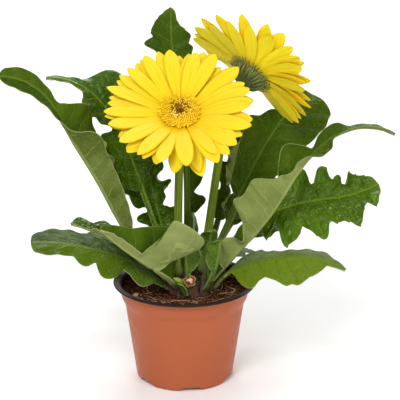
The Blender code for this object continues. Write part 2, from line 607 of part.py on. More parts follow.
def main():
    clear_scene()
    make_pot()
    make_soil()
    make_crown()
    for shape in LEAVES:
        place_leaf(shape, LEAF_ROWS, LEAF_GREEN)
    for shape in YOUNG_LEAVES:
        place_leaf(shape, YOUNG_ROWS, YOUNG_GREEN)
    for flower in FLOWERS:
        make_stalk(flower)
        make_bracts(flower)
        make_rays(flower)
        make_disc(flower)


main()
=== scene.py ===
"""Looks of the potted gerbera daisy: finer leaves, petals, florets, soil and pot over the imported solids.

Metres, +Z up, in the same place as the solids. Sizes in the tables are millimetres and degrees.
"""

import bpy
import numpy as np
from mathutils import Matrix, Vector


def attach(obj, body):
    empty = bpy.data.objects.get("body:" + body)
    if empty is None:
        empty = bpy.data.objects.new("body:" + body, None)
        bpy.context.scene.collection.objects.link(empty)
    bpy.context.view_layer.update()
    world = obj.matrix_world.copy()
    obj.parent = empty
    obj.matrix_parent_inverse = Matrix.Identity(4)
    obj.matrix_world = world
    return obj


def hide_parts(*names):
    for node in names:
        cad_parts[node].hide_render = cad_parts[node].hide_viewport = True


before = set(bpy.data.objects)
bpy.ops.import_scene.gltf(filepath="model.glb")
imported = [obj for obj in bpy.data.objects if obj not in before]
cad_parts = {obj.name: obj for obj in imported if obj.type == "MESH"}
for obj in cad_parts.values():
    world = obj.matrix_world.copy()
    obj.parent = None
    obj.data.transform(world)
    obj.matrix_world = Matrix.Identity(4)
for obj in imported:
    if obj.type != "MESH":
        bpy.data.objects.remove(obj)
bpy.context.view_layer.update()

MM = 0.001
GAP = 0.3 * MM
UP = np.array([0.0, 0.0, 1.0])
FULL_TURN = 2 * np.pi
# Where the chances of each body start. A flower adds its own seed to the last three.
SEEDS = dict(
    leaves=100, young=200, grains=31, fibres=41, roots=52, bark=63, crown=74,
    petals=20, florets=50, bracts=90)

# Camera: fitted to the pot's rim, foot and sides in the photograph
CAMERA_PLACE = (0.01305, -1.2367, 0.55604)
CAMERA_TARGET = (0.01305, 0.0, 0.15531)
CAMERA_LENS = 141.03

# Pot
RIM_RADIUS = 60 * MM
POT_HEIGHT = 84.6 * MM
BODY_TOP_RADIUS = 50.3 * MM
BODY_TOP_LEVEL = 66.4 * MM
COLLAR_RADIUS = 53.4 * MM
COLLAR_LEVEL = 73 * MM
FOOT_RADIUS = 41.4 * MM
FOOT_LEVEL = 5 * MM
BASE_FLAT_RADIUS = 33 * MM
WALL = 1.2 * MM
FLOOR = 1.5 * MM
POT_SEGMENTS = 180
NOTCHES = 6
NOTCH_TURN = -82.5
NOTCH_HALF_WIDTH = 15.0
NOTCH_HEIGHT = 3 * MM
DRAIN_RADIUS = 3.5 * MM
DRAIN_RING = 22 * MM

# Soil and crown. SOIL_SIDES: radius and level of the soil's underside and side, from below.
# ROOTS: each long root's start, as an angle and a share of the soil's radius, then its heading
# and its length. STUB: the cut stalk's rings, each a share of its length, a radius and a tone.
SOIL_LEVEL = 76 * MM
SOIL_RADIUS = COLLAR_RADIUS - WALL - 0.3 * MM
SOIL_SIDES = ((4, 1.8), (34.2, 1.8), (39.4, 6.4), (48.7, 66.4), (51.8, 73.2))
SOIL_ROWS = 70
SOIL_SEGMENTS = 220
GRAINS = 1500
FIBRES = 260
FINE_ROOTS = 60
CHIPS = 34
ROOTS = (
    (222, 0.80, -20, 46), (232, 0.78, 15, 40), (214, 0.9, -35, 30), (262, 0.62, 8, 34),
    (300, 0.74, 40, 30), (285, 0.55, -60, 26), (318, 0.7, 100, 24), (240, 0.93, 5, 36),
    (332, 0.84, 60, 28), (205, 0.72, -70, 24), (275, 0.88, 30, 26), (70, 0.7, 160, 40),
    (120, 0.8, 210, 36), (20, 0.85, 100, 30), (150, 0.7, 240, 34))
CROWN_CENTRE = np.array([5.0, -2.0, 74.0]) * MM
CROWN_RADIUS = 21 * MM
SHEATHS = 22
STUB = (
    (0.0, 4.6, 1.3), (0.9, 5.0, 1.3), (1.0, 5.1, 1.15), (1.02, 4.5, 0.95), (0.97, 3.8, 0.75),
    (0.95, 3.0, 0.55), (0.98, 2.1, 0.3), (1.0, 0.6, 0.0))

# Leaves
LEAF_ROWS = 150
YOUNG_ROWS = 60
LEAF_COLUMNS = 18
PETIOLE_HALF_WIDTH = 2.6 * MM
PETIOLE_HALF_THICKNESS = 2.0 * MM
FOLD_FULL_WIDTH = 9 * MM
SHEET_HALF = 0.4 * MM

# Flowers. The cup is given from below, and so is the line that its bracts lie along.
# BRACT_ROWS: count, first and last share of that line, how far they stand off and how wide.
# BUD and OPEN: rings of a floret, each a share of its height, a width and how pointed it is.
STALK_RADIUS_LOW = 3.6 * MM
STALK_RADIUS_TOP = 3.0 * MM
STALK_SEGMENTS = 40
HUB_RADIUS = 13 * MM
HUB_TOP = 1.2 * MM
HUB_BOTTOM = -2.8 * MM
HEAD_DEPTH = 14 * MM
HEAD_SEGMENTS = 48
CUP_RADII = np.array([0.6, 3.4, 5.5, 9.0, 11.8, 13.2, 14.0, 13.2, 11.5]) * MM
CUP_LEVELS = np.array([-14.0, -13.9, -13.6, -12.2, -9.6, -7.0, -4.6, -3.5, -3.1]) * MM
BRACT_RADII = np.array([3.4, 5.5, 9.0, 11.8, 13.2, 14.2, 15.4]) * MM
BRACT_LEVELS = np.array([-13.9, -13.6, -12.2, -9.6, -7.0, -4.9, -3.7]) * MM
BRACT_ROWS = ((24, 0.30, 0.86, 1.3, 1.15), (30, 0.45, 1.10, 1.0, 1.1), (34, 0.62, 1.50, 0.5, 1.0))
DISC_RADIUS = 17 * MM
DISC_HEIGHT = 4.5 * MM
DISC_FLORETS = 330
BUDS_WITHIN = 0.30
BUD = ((0.0, 0.75, 0), (0.5, 1.0, 0), (0.85, 0.7, 0), (1.0, 0.25, 0))
OPEN = ((0.0, 0.55, 0), (0.55, 0.7, 0), (0.85, 1.0, 0.5), (1.0, 1.5, 1), (0.8, 0.5, 0))
GOLDEN_ANGLE = 137.508
RIM_FLORETS = 76
RIM_HALF_WIDTHS = 0.62 * MM * np.array([0.5, 0.7, 0.85, 1.0, 0.95, 0.7, 0.25])
PETALS_A_LAYER = 18
PETAL_ROOT = 9 * MM
PETAL_STATIONS = (0.0, 0.14, 0.36, 0.62, 0.80, 0.90, 0.96, 1.0)
PETAL_HALF_WIDTHS = (1.6, 3.0, 5.8, 7.1, 6.5, 4.8, 2.8, 0.5)
PETAL_SLIMNESS = 0.92
BETWEEN_LAYER = 0.4
BETWEEN_SLIMNESS = 0.78
LAYER_DROP = 1.6 * MM
LAYER_OPENING = 3.0

# What a leaf has where its row doesn't say. Half widths, slopes, turns and folds are given from
# the base to the tip. fold: how far each half of the blade stands up. curl: how far its margin
# turns over from there. roll: the turn of the blade about its midrib. sweep: how far its lobes
# lean towards the tip. fresh: how bright and yellow-green each half is, left and right: partly
# the leaf's own young green, partly painted light on the half that faces the light. pale: how
# whitish the leaf is, most of all its underside: its own whitish tone where high, painted shade
# where low; the highest also get a painted sheen on their upper side. quilt: how deep it is
# quilted between its veins. wave: how far its margin waves. lobing: how much broader its lobes
# are than the solid's. teeth: how many small pointed ones it has on each side, and how deep.
# glossy: whether its upper side looks wet. dark_tail: whether its underside darkens towards
# the tip.
LEAF_USUAL = dict(
    fold_left=(10, 10), curl_left=(0, 0), curl_right=(0, 0), roll=(0, 0), sweep_left=(10, 10),
    fresh=(0.12, 0.12), pale=0.5, quilt=0.8, wave=0.9, lobing=0.2, teeth=(0, 0), glossy=False,
    dark_tail=False)
# The freshness of young leaves, and the share of quilting and waves that they have
FRESH_YOUNG = (0.5, 0.5)
YOUNG_RELIEF = 0.4


def leaf(name, root, length, rise, head, petiole, left, right=None, **its_own):
    """One leaf. root: degrees round the crown and above its equator. rise and head: slope and
    heading of the midrib, evenly spaced from root to tip. petiole: its bare share. left and
    right: half widths of the blade. The right half is like the left one where nothing is said."""
    row = dict(
        LEAF_USUAL, name=name, root=root, length=length * MM, rise=rise, head=head, petiole=petiole,
        left=np.array(left) * MM, right=np.array(right or left) * MM, **its_own)
    row.setdefault("fold_right", row["fold_left"])
    row.setdefault("sweep_right", row["sweep_left"])
    return row


LEAVES = (
    leaf("leaf_left_tall", (195, 34), 236, (46, 51, 60, 65, 61, 60, 63, 38, 6),
         (186, 191, 196, 199, 201, 198, 194, 192, 191), 0.22,
         left=(6, 12, 15, 17, 19, 22, 9, 7, 8, 9, 5),
         right=(5, 8, 14, 20, 24, 28, 29, 8, 8, 10, 6),
         fold_left=(62, 64, 66, 65, 64, 60, 20, -20, -20, -5, 0), fold_right=(45, 50, 50, 60, 40, 10),
         roll=(0, 0, 0, 0, 0, -25, -55), fresh=(0.10, 0.25), pale=-0.45, wave=0.6),
    leaf("leaf_left_rear", (165, 45), 208, (67, 66, 68, 67, 58, 36, 0),
         (144, 148, 152, 154, 164, 178, 190), 0.36,
         left=(5, 26, 30, 34, 39, 30, 6, 13, 21, 19, 9, 4, 3, 3, 2),
         right=(5, 10, 22, 16, 26, 14, 22, 26, 28, 31, 18, 7, 4, 3, 2),
         fold_left=(10, 10, 10, 5, 10), fold_right=(10, 10, 10, 5, 0),
         curl_left=(20, 75, 115, 50, 0, 0, 0, 0), curl_right=(20, 60, 40, 20, 0, 0, 0),
         roll=(-10, -25, -40, -45, -20), glossy=True, quilt=1.8, wave=2.6),
    leaf("leaf_top", (105, 62), 219, (80, 78, 75, 73, 76), (95, 90, 118, 115, 85), 0.5,
         left=(6, 8, 10, 14, 16, 12, 10, 16, 18, 15, 14, 16, 15, 17, 24.5, 17, 17, 14.8, 10.8, 6.8, 2.5),
         right=(6, 8, 10, 14, 16, 12, 10, 16, 18, 15, 14, 16, 15, 18, 14, 16.5, 12.5, 8, 5, 4, 1.5),
         fold_left=(20, 20, 15, 10), pale=-0.2, wave=1.3, lobing=0.4, teeth=(7, 0.8)),
    leaf("leaf_right_rear", (40, 45), 186, (64, 52, 48, 40, 36), (12, 50, 50, 46, 40), 0.38,
         left=(6, 18, 20, 34, 30, 28, 18, 12, 6, 4, 2),
         right=(6, 14, 20, 26, 24, 30, 33, 36, 36, 31, 13),
         fold_left=(5, 10, 0, -20), fold_right=(5, 10, 15, 20), roll=(20, 30, 40, 40),
         quilt=1.4, wave=1.6),
    leaf("leaf_right_inner", (60, 48), 125, (58, 64, 70, 76, 80), (20, 50, 40, 20, 40), 0.36,
         left=(5, 8, 12, 6, 8, 17, 7, 10, 12, 8, 3),
         right=(6, 14, 9, 18, 10, 20, 11, 18, 12, 9, 3),
         fold_left=(20, 20), fold_right=(40, 40, 40, 30), curl_right=(30, 60, 80, 60),
         roll=(10, 20, 20), pale=0.3, wave=2.4),
    leaf("leaf_right_tall", (-22, 32), 219, (54, 50, 61, 38, -21), (-10, -16, -20, -11, -8), 0.08,
         left=(6, 14, 16, 18, 15, 14, 28, 8, 14, 6, 6, 3),
         right=(10, 16, 17, 6, 14, 33, 29, 29, 28, 14, 9, 7, 12, 14, 13, 7, 5, 7, 6, 7, 3),
         fold_left=(45, 50, 50, 30, 35, 20), fold_right=(62, 64, 66, 66, 64, 58, 10, -35, 20, 50, 45),
         curl_left=(0, 0, 20, 90, 20, 0, 0), curl_right=(0, 10, 10, 30, 40, 10, 0, 0),
         fresh=(0.10, 0.20), pale=0.68, wave=0.7, dark_tail=True),
    leaf("leaf_right_lobed", (12, 28), 170, (67, 48, 19, 6, 27), (0, 9, 9, 5, 5), 0.38,
         left=(5, 9, 12, 9, 14, 22, 20, 26, 28, 14, 27, 25, 16, 19, 11, 19, 16, 14, 12, 9, 5),
         right=(5, 17, 19, 6, 30, 33, 32, 20, 26, 34, 36, 24, 23, 24, 28, 30, 19, 13, 17, 11, 5),
         fold_left=(8, 8), fold_right=(5, 5), curl_left=(20, 40, 60, 30, 0), curl_right=(0, 10, 0),
         roll=(20, 45, 48, 40), sweep_left=(-16, -4, 10, 14, 12), sweep_right=(-28, -16, 0, 5, 10),
         fresh=(0.30, 0.30), glossy=True, quilt=2.2, wave=1.6, lobing=0.3, teeth=(12, 2.2)),
    leaf("leaf_right_low", (-20, 18), 124, (60, 28, 14, -2, -32), (-25, -21, -14, -10, -9), 0.12,
         left=(6, 20, 25, 19, 14, 13, 14, 15, 14, 8, 3),
         right=(5, 3, 7, 21, 27, 28, 22, 18, 21, 25, 28, 27, 27, 24, 19, 16, 12, 6, 5, 4, 2),
         fold_left=(8, 0, -5, -5), fold_right=(-20, -25, -30, -20), roll=(0, 8, 8),
         fresh=(0.22, 0.80), pale=1.0, wave=0.4),
    leaf("leaf_left_low", (205, 18), 130, (50, 36, 24, 14, 0), (201, 204, 199, 191, 191), 0.05,
         left=(8, 10, 14, 23, 27, 25, 17, 13, 26, 29, 27, 15, 20, 19, 13, 13, 14, 15, 15, 14, 9),
         right=(12, 16, 20, 22, 23, 23, 23, 22, 18, 7),
         fold_left=(-15, -20, -20, -10), fold_right=(5, 5, 0, 0), roll=(0, -10, -10),
         fresh=(0.36, 0.0), pale=-0.1, quilt=1.2, wave=0.4, lobing=0.4),
    leaf("leaf_front_left", (232, 28), 98, (44, 40, 38, 42, 48), (240, 226, 209, 202, 200), 0.06,
         left=(4, 4, 4, 4, 4, 4, 4, 12, 45, 47, 31, 10, 8, 8, 8, 8, 8, 7, 7, 5, 3),
         right=(8, 24, 36, 38, 30, 20, 14, 6),
         fold_left=(52, 56, 62, 72, 72, 70), fold_right=(72, 70, 58, 45),
         sweep_left=(-20, -20, -20, -20, -20, -20, -30, -32, -24, 12, 4, 0, 5, 5, 5, 5, 5, 5, 10, 10, 10),
         sweep_right=(-15, -15, 0, 10), fresh=(0.10, 0.10), pale=0.9, quilt=0.3, wave=0.4, lobing=0.0),
    leaf("leaf_left_small", (172, 24), 96, (55, 42, 28, 20, 20), (172, 174, 176, 178, 180), 0.3,
         left=(5, 9, 12, 10, 12, 9, 7, 3), right=(5, 12, 15, 9, 16, 9, 11, 5),
         fold_left=(30, 30), glossy=True),
    leaf("leaf_inner_left", (138, 40), 124, (60, 66, 66, 60), (132, 130, 120, 112), 0.2,
         left=(4, 7, 16, 19, 9, 26, 33, 20, 9, 18, 16, 10, 3),
         right=(4, 7, 13, 16, 6, 12, 18, 8, 18, 21, 16, 10, 3),
         fold_left=(10, 10, 20),
         curl_left=(0, 20, 30, 60, 60, 50, 30), curl_right=(0, 20, 30, 50, 60, 60, 30),
         roll=(-15, -25), glossy=True, quilt=2.0, wave=3.4, teeth=(9, 1.2)),
    leaf("leaf_back_right", (62, 28), 166, (56, 41, 38, 41, 26), (30, 49, 59, 50, 66), 0.3,
         left=(5, 18, 12, 24, 16, 28, 24, 18, 4)),
    leaf("leaf_back_low", (95, 20), 112, (55, 8, -25, -34, -33), (88, 95, 99, 96, 90), 0.2,
         left=(5, 18, 12, 24, 16, 26, 22, 16, 4), fold_left=(5, 0, -5)),
    leaf("leaf_back_left", (120, 24), 144, (62, 48, 44, 51, 61), (126, 124, 122, 123, 120), 0.3,
         left=(4, 4, 5, 12, 14, 24, 22, 16, 4), right=(4, 4, 5, 10, 14, 20, 22, 16, 4)),
    leaf("leaf_back_side", (30, 16), 131, (62, 36, 12, 11, 18), (41, 33, 28, 27, 28), 0.4,
         left=(4, 12, 10, 14, 12, 15, 14, 10, 3), fold_left=(10, 5, 0), roll=(20, 30)),
    leaf("leaf_back_middle", (82, 40), 158, (78, 74, 68, 58, 44), (98, 102, 100, 96, 90), 0.3,
         left=(3, 3, 3, 3, 4, 8, 14, 18, 20, 18, 15, 11, 4),
         right=(4, 14, 4, 12, 10, 6, 14, 18, 20, 18, 16, 12, 4),
         fold_left=(20, 10, 5), wave=2.0),
    leaf("leaf_back_left_low", (148, 14), 110, (48, 18, 6, 2, -12), (146, 150, 154, 156, 158), 0.2,
         left=(5, 14, 9, 18, 11, 19, 17, 12, 4), fold_left=(10, 5, 0), roll=(0, -10)),
    leaf("leaf_back_right_low", (52, 10), 114, (50, 12, -16, -30, -34), (52, 50, 46, 42, 40), 0.2,
         left=(5, 16, 10, 21, 13, 23, 20, 14, 4), fold_left=(5, 0, -5)),
)

YOUNG_LEAVES = (
    leaf("young_front", (60, 70), 48, (88, 88, 88, 86), (120, 140, 160, 180), 0.5,
         left=(3, 6, 7, 7, 5, 3), fold_left=(20, 20), pale=-0.3),
    leaf("young_middle", (335, 48), 46, (85, 80, 74, 62), (-60, -65, -70, -60), 0.4,
         left=(3, 8, 7, 9, 7, 3), fold_left=(30, 30), fold_right=(50, 50), pale=-0.1),
    leaf("young_right", (306, 24), 52, (58, 64, 74, 84), (-48, -44, -40, -36), 0.42,
         left=(3, 8, 11, 12, 10, 4),
         fold_left=(50, 50), curl_left=(10, 40, 40), curl_right=(10, 40, 40), pale=-0.3),
    leaf("young_foot", (262, 16), 15, (66, 60, 50, 40), (215, 210, 205, 200), 0.1,
         left=(3, 4, 5, 5, 4, 3), fold_left=(40, 40), pale=0.0),
    leaf("young_centre", (268, 36), 36, (78, 80, 82, 84), (230, 225, 220, 215), 0.35,
         left=(3, 9, 12, 13, 11, 6), right=(3, 8, 11, 12, 10, 6),
         fold_left=(30, 30), roll=(10, 20), pale=-0.4),
)

# Each flower: its disc's place, the way it faces, its petals' reach, and its stalk's root and
# handles. cup: the petals' rise. saddle: how much of it two opposite ends lose, at saddle_at.
# tilt: how much more the petals rise on the side at tilt_at. droop: how much lower the back
# layer hangs within 15 degrees of droop_at.
FLOWERS = (
    dict(name="front", centre=(-3.1, -14, 233.2), axis=(-0.02, -0.588, 0.808), reach=65.5,
         cup=13, saddle=0, saddle_at=0, tilt=0, tilt_at=0, droop=14, droop_at=-80,
         stalk_root=(190, 60), lean=(0.0, 0.10, 1.0), handles=(90, 20), seed=3),
    dict(name="rear", centre=(57, 44, 254), axis=(0.599, 0.579, 0.556), reach=64,
         cup=12, saddle=14, saddle_at=48, tilt=6, tilt_at=-42, droop=0, droop_at=0,
         stalk_root=(22, 60), lean=(0.16, 0.14, 0.98), handles=(80, 30), seed=8),
)


# Ways, angles and curves

def unit(v):
    return v / np.linalg.norm(v, axis=-1, keepdims=True)


def circle(count):
    """Angles evenly spaced round a full turn."""
    return FULL_TURN * np.arange(count) / count


def level_way(turn):
    """The level way outward, at an angle round the Z axis."""
    return np.array([np.cos(turn), np.sin(turn), 0.0])


def outward(around, level):
    """The way from the crown's centre to a point on it."""
    level = np.radians(level)
    return level_way(np.radians(around)) * np.cos(level) + UP * np.sin(level)


def spokes(way, helper, angle):
    """Ways at right angles to a way, or to each of several, at each angle round it."""
    sideways = unit(np.cross(way, helper))
    upward = np.cross(sideways, way)
    return np.stack([np.cos(angle), np.sin(angle)], -1) @ np.stack([sideways, upward], -2)


def ring_at(radius, level, angle):
    """Points round the Z axis, with one radius and level for all or one for each angle."""
    return np.stack([radius * np.cos(angle), radius * np.sin(angle), level + 0 * angle], -1)


def rings_at(radii, levels, count):
    """Level rings round the Z axis, one for each radius and level."""
    return np.array([ring_at(r, z, circle(count)) for r, z in zip(radii, levels)])


def triples(shape, *values):
    """Three numbers for each point of a grid. Those that aren't given are 0."""
    made = np.zeros((*shape[:2], 3))
    for k, value in enumerate(values):
        made[..., k] = value
    return made


def stretch_at(values, share):
    """Evenly spaced values, the number of the last before each share, and the part past it."""
    values = np.asarray(values, float)
    place = np.clip(share, 0, 1) * (len(values) - 1)
    low = np.minimum(place.astype(int), len(values) - 2)
    return values, low, place - low


def smooth_at(values, share):
    """Values that are evenly spaced over 0 to 1, read at each share along a smooth curve."""
    values, low, part = stretch_at(values, share)
    before, start = values[np.maximum(low - 1, 0)], values[low]
    end, after = values[low + 1], values[np.minimum(low + 2, len(values) - 1)]
    leave, arrive = (end - before) / 2, (after - start) / 2
    return (
        (2 * part**3 - 3 * part**2 + 1) * start
        + (part**3 - 2 * part**2 + part) * leave
        + (3 * part**2 - 2 * part**3) * end
        + (part**3 - part**2) * arrive
    )


def lobed_at(half_widths, share, lobing):
    """Half widths read as smooth_at does, with the lobes broader and the bays between them
    narrower by the share lobing."""
    values, low, part = stretch_at(half_widths, share)
    start, end = values[low], values[low + 1]
    eased = np.where(end < start, part**2.4, 1 - (1 - part) ** 2.4)
    return smooth_at(values, share) * (1 - lobing) + (start + (end - start) * eased) * lobing


# Bodies: each is points, sets of faces, what its points carry for its colours, and its stuff

def body(points, faces, paint, stuff):
    """One closed body. paint: names with three numbers a point. stuff: which of the piece's
    materials its faces have, as one number or one for each face."""
    points = points.reshape(-1, 3)
    volume = 0.0
    for group in faces:
        first = points[group[:, 0]]
        for k in range(1, group.shape[1] - 1):
            volume += np.sum(first * np.cross(points[group[:, k]], points[group[:, k + 1]]))
    if volume < 0:
        faces = [group[:, ::-1] for group in faces]
    count = sum(len(group) for group in faces)
    return dict(points=points, faces=faces, paint=paint, stuff=np.broadcast_to(stuff, (count,)))


def joined(bodies):
    """Several bodies as one."""
    starts = np.cumsum([0] + [len(b["points"]) for b in bodies])
    groups, stuffs = {}, {}
    for b, start in zip(bodies, starts):
        done = 0
        for group in b["faces"]:
            corners = group.shape[1]
            groups.setdefault(corners, []).append(group + start)
            stuffs.setdefault(corners, []).append(b["stuff"][done:done + len(group)])
            done += len(group)
    return dict(
        points=np.concatenate([b["points"] for b in bodies]),
        faces=[np.concatenate(groups[c]) for c in groups],
        paint={n: np.concatenate([b["paint"][n] for b in bodies]) for n in bodies[0]["paint"]},
        stuff=np.concatenate([np.concatenate(stuffs[c]) for c in groups]))


def ring_faces(rows, around):
    """Faces of rings joined one after another."""
    row = np.arange(rows - 1)[:, None] * around
    here = row + np.arange(around)
    beyond = row + (np.arange(around) + 1) % around
    return np.stack([here, beyond, beyond + around, here + around], -1).reshape(-1, 4)


def strip_faces(first, around, flipped):
    """Faces that close a flat ring, whose second half runs back under its first."""
    k = np.arange(around // 2 - 1)
    strip = np.stack([k, k + 1, around - 2 - k, around - 1 - k], -1) + first
    return strip if flipped else strip[:, ::-1]


def fan_faces(first, around, centre, flipped):
    """Faces from a ring's points to the point in its middle."""
    k = np.arange(around)
    fan = np.stack([first + k, first + (k + 1) % around, np.full(around, centre)], -1)
    return fan if flipped else fan[:, ::-1]


def with_ends(rings):
    """All points of the rings, then the middle of the first and of the last."""
    return np.concatenate([rings.reshape(-1, 3), [rings[0].mean(0)], [rings[-1].mean(0)]])


def ringed(rings, *place, stuff=0):
    """A closed body of rings, with a point in the middle of each end. place: the numbers that
    its points carry for its colours."""
    rows, around = rings.shape[:2]
    count = rows * around
    ends = np.concatenate([
        fan_faces(0, around, count, False), fan_faces(count - around, around, count + 1, True)])
    paint = {"place": with_ends(triples(rings.shape, *place))}
    return body(with_ends(rings), [ring_faces(rows, around), ends], paint, stuff)


def sheet_body(top, bottom, paint, stuff_bottom=0):
    """A closed sheet from its two faces, each a grid of rows and columns."""
    rows, columns = top.shape[:2]
    around = 2 * columns
    k = np.tile(np.arange(around), rows - 1)
    stuff = np.where((k >= columns - 1) & (k < around - 1), stuff_bottom, 0)
    ends = np.concatenate([
        strip_faces(0, around, False), strip_faces((rows - 1) * around, around, True)])
    full = {
        title: np.concatenate([values, values[:, ::-1]], axis=1).reshape(-1, 3)
        for title, values in paint.items()}
    return body(
        np.concatenate([top, bottom[:, ::-1]], axis=1),
        [np.concatenate([ring_faces(rows, around), ends])],
        full, np.concatenate([stuff, np.zeros(len(ends), int)]))


def strap(line, out, half_width, across):
    """A grid of points: a line that runs outward, widened to both sides."""
    return line[:, None] + np.cross(UP, out) * (half_width[:, None] * across)[..., None]


def thick_strap(grid, half, share, kind, chance):
    """A closed sheet that reaches half to each side of a grid."""
    paint = triples(grid.shape, share[:, None], kind, chance.uniform())
    return sheet_body(grid + half, grid - half, {"place": paint})


def tube(line, radius, sides, place, ripple=0.0, ridges=0):
    """A round body along a line of points, with a radius for each and lengthwise ridges."""
    ways = unit(np.gradient(line, axis=0))
    helper = (0.0, 1.0, 0.1) if abs(ways[0] @ [0, 1, 0.1]) < 0.8 else (1.0, 0.0, 0.0)
    angle = circle(sides)
    across = radius[:, None] * (1 + ripple * np.cos(ridges * angle))
    return ringed(line[:, None] + across[..., None] * spokes(ways, helper, angle), *place)


def linked(name, data):
    """A new object in the scene."""
    made = bpy.data.objects.new(name, data)
    bpy.context.scene.collection.objects.link(made)
    return made


def mesh_of(name, shape):
    """A smooth mesh from a body. Its points carry the numbers for its colours."""
    mesh = bpy.data.meshes.new(name)
    points = shape["points"]
    corners = np.concatenate([group.ravel() for group in shape["faces"]])
    sizes = np.concatenate([np.full(len(g), g.shape[1]) for g in shape["faces"]])
    mesh.vertices.add(len(points))
    mesh.vertices.foreach_set("co", points.astype(np.float32).ravel())
    mesh.loops.add(len(corners))
    mesh.loops.foreach_set("vertex_index", corners.astype(np.int32))
    mesh.polygons.add(len(sizes))
    mesh.polygons.foreach_set("loop_start", (np.cumsum(sizes) - sizes).astype(np.int32))
    mesh.polygons.foreach_set("material_index", shape["stuff"].astype(np.int32))
    mesh.update(calc_edges=True)
    for title, values in shape["paint"].items():
        painted = mesh.attributes.new(title, "FLOAT_VECTOR", "POINT")
        painted.data.foreach_set("vector", values.astype(np.float32).ravel())
    mesh.shade_smooth()
    return mesh


def add_piece(name, shape, materials, replaces=(), matrix=None):
    """A shown piece from a body, that rides on the plant and stands for the named nodes."""
    piece = linked(name, mesh_of(name, shape))
    for material in materials:
        piece.data.materials.append(material)
    if matrix is not None:
        piece.data.transform(matrix)
    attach(piece, "root")
    if replaces:
        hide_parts(*replaces)
    return piece


# Leaves

def midrib(shape, share):
    """Points along the midrib from the crown's centre on, with its way and its heading."""
    fine = np.linspace(0, 1, 601)
    rise = np.radians(smooth_at(shape["rise"], fine))
    head = np.radians(smooth_at(shape["head"], fine))
    way = np.stack([np.cos(rise) * np.cos(head), np.cos(rise) * np.sin(head), np.sin(rise)], -1)
    steps = (way[1:] + way[:-1]) / 2 * shape["length"] / (len(fine) - 1)
    line = np.vstack([np.zeros(3), np.cumsum(steps, 0)])
    points = np.stack([np.interp(share, fine, line[:, k]) for k in range(3)], -1)
    ways = unit(np.stack([np.interp(share, fine, way[:, k]) for k in range(3)], -1))
    return points, ways, np.interp(share, fine, head)


def vein_places(half_widths, blade_length):
    """Shares of the blade where side veins meet its margin: at the tips of its lobes, and
    between them where they lie far apart."""
    fine = np.linspace(0, 1, 241)
    width = smooth_at(half_widths, fine)
    tips = [0.03]
    for i in range(3, 238):
        is_tip = width[i] >= width[i - 1] and width[i] > width[i + 1]
        if is_tip and (fine[i] - tips[-1]) * blade_length > 6 * MM:
            tips.append(fine[i])
    tips.append(1.02)
    marks = [-0.25, -0.1]
    for low, high in zip(tips[:-1], tips[1:]):
        parts = max(1, int(round((high - low) * blade_length / (15 * MM))))
        marks += [low + (high - low) * k / parts for k in range(parts)]
    return np.array(marks + [1.02, 1.2])


def root_seat(side, above, radial):
    """How far out along radial a petiole's root lies so that it clears the crown."""
    lobes = np.array([-1.0, -0.5, 0.0, 0.5, 1.0])
    half = PETIOLE_HALF_THICKNESS * np.array([0.35, 0.675, 1.0, 0.675, 0.35])
    middle = side * (lobes * PETIOLE_HALF_WIDTH)[:, None]
    ring = np.concatenate([middle + above * half[:, None], middle - above * half[:, None]])
    along = ring @ radial
    beside = np.sum(ring**2, axis=1) - along**2
    return np.max(np.sqrt(np.maximum((CROWN_RADIUS + GAP) ** 2 - beside, 0)) - along)


def grid_normals(grid):
    """The way that a grid of points faces, at each of them."""
    return unit(np.cross(np.gradient(grid, axis=0), np.gradient(grid, axis=1)))


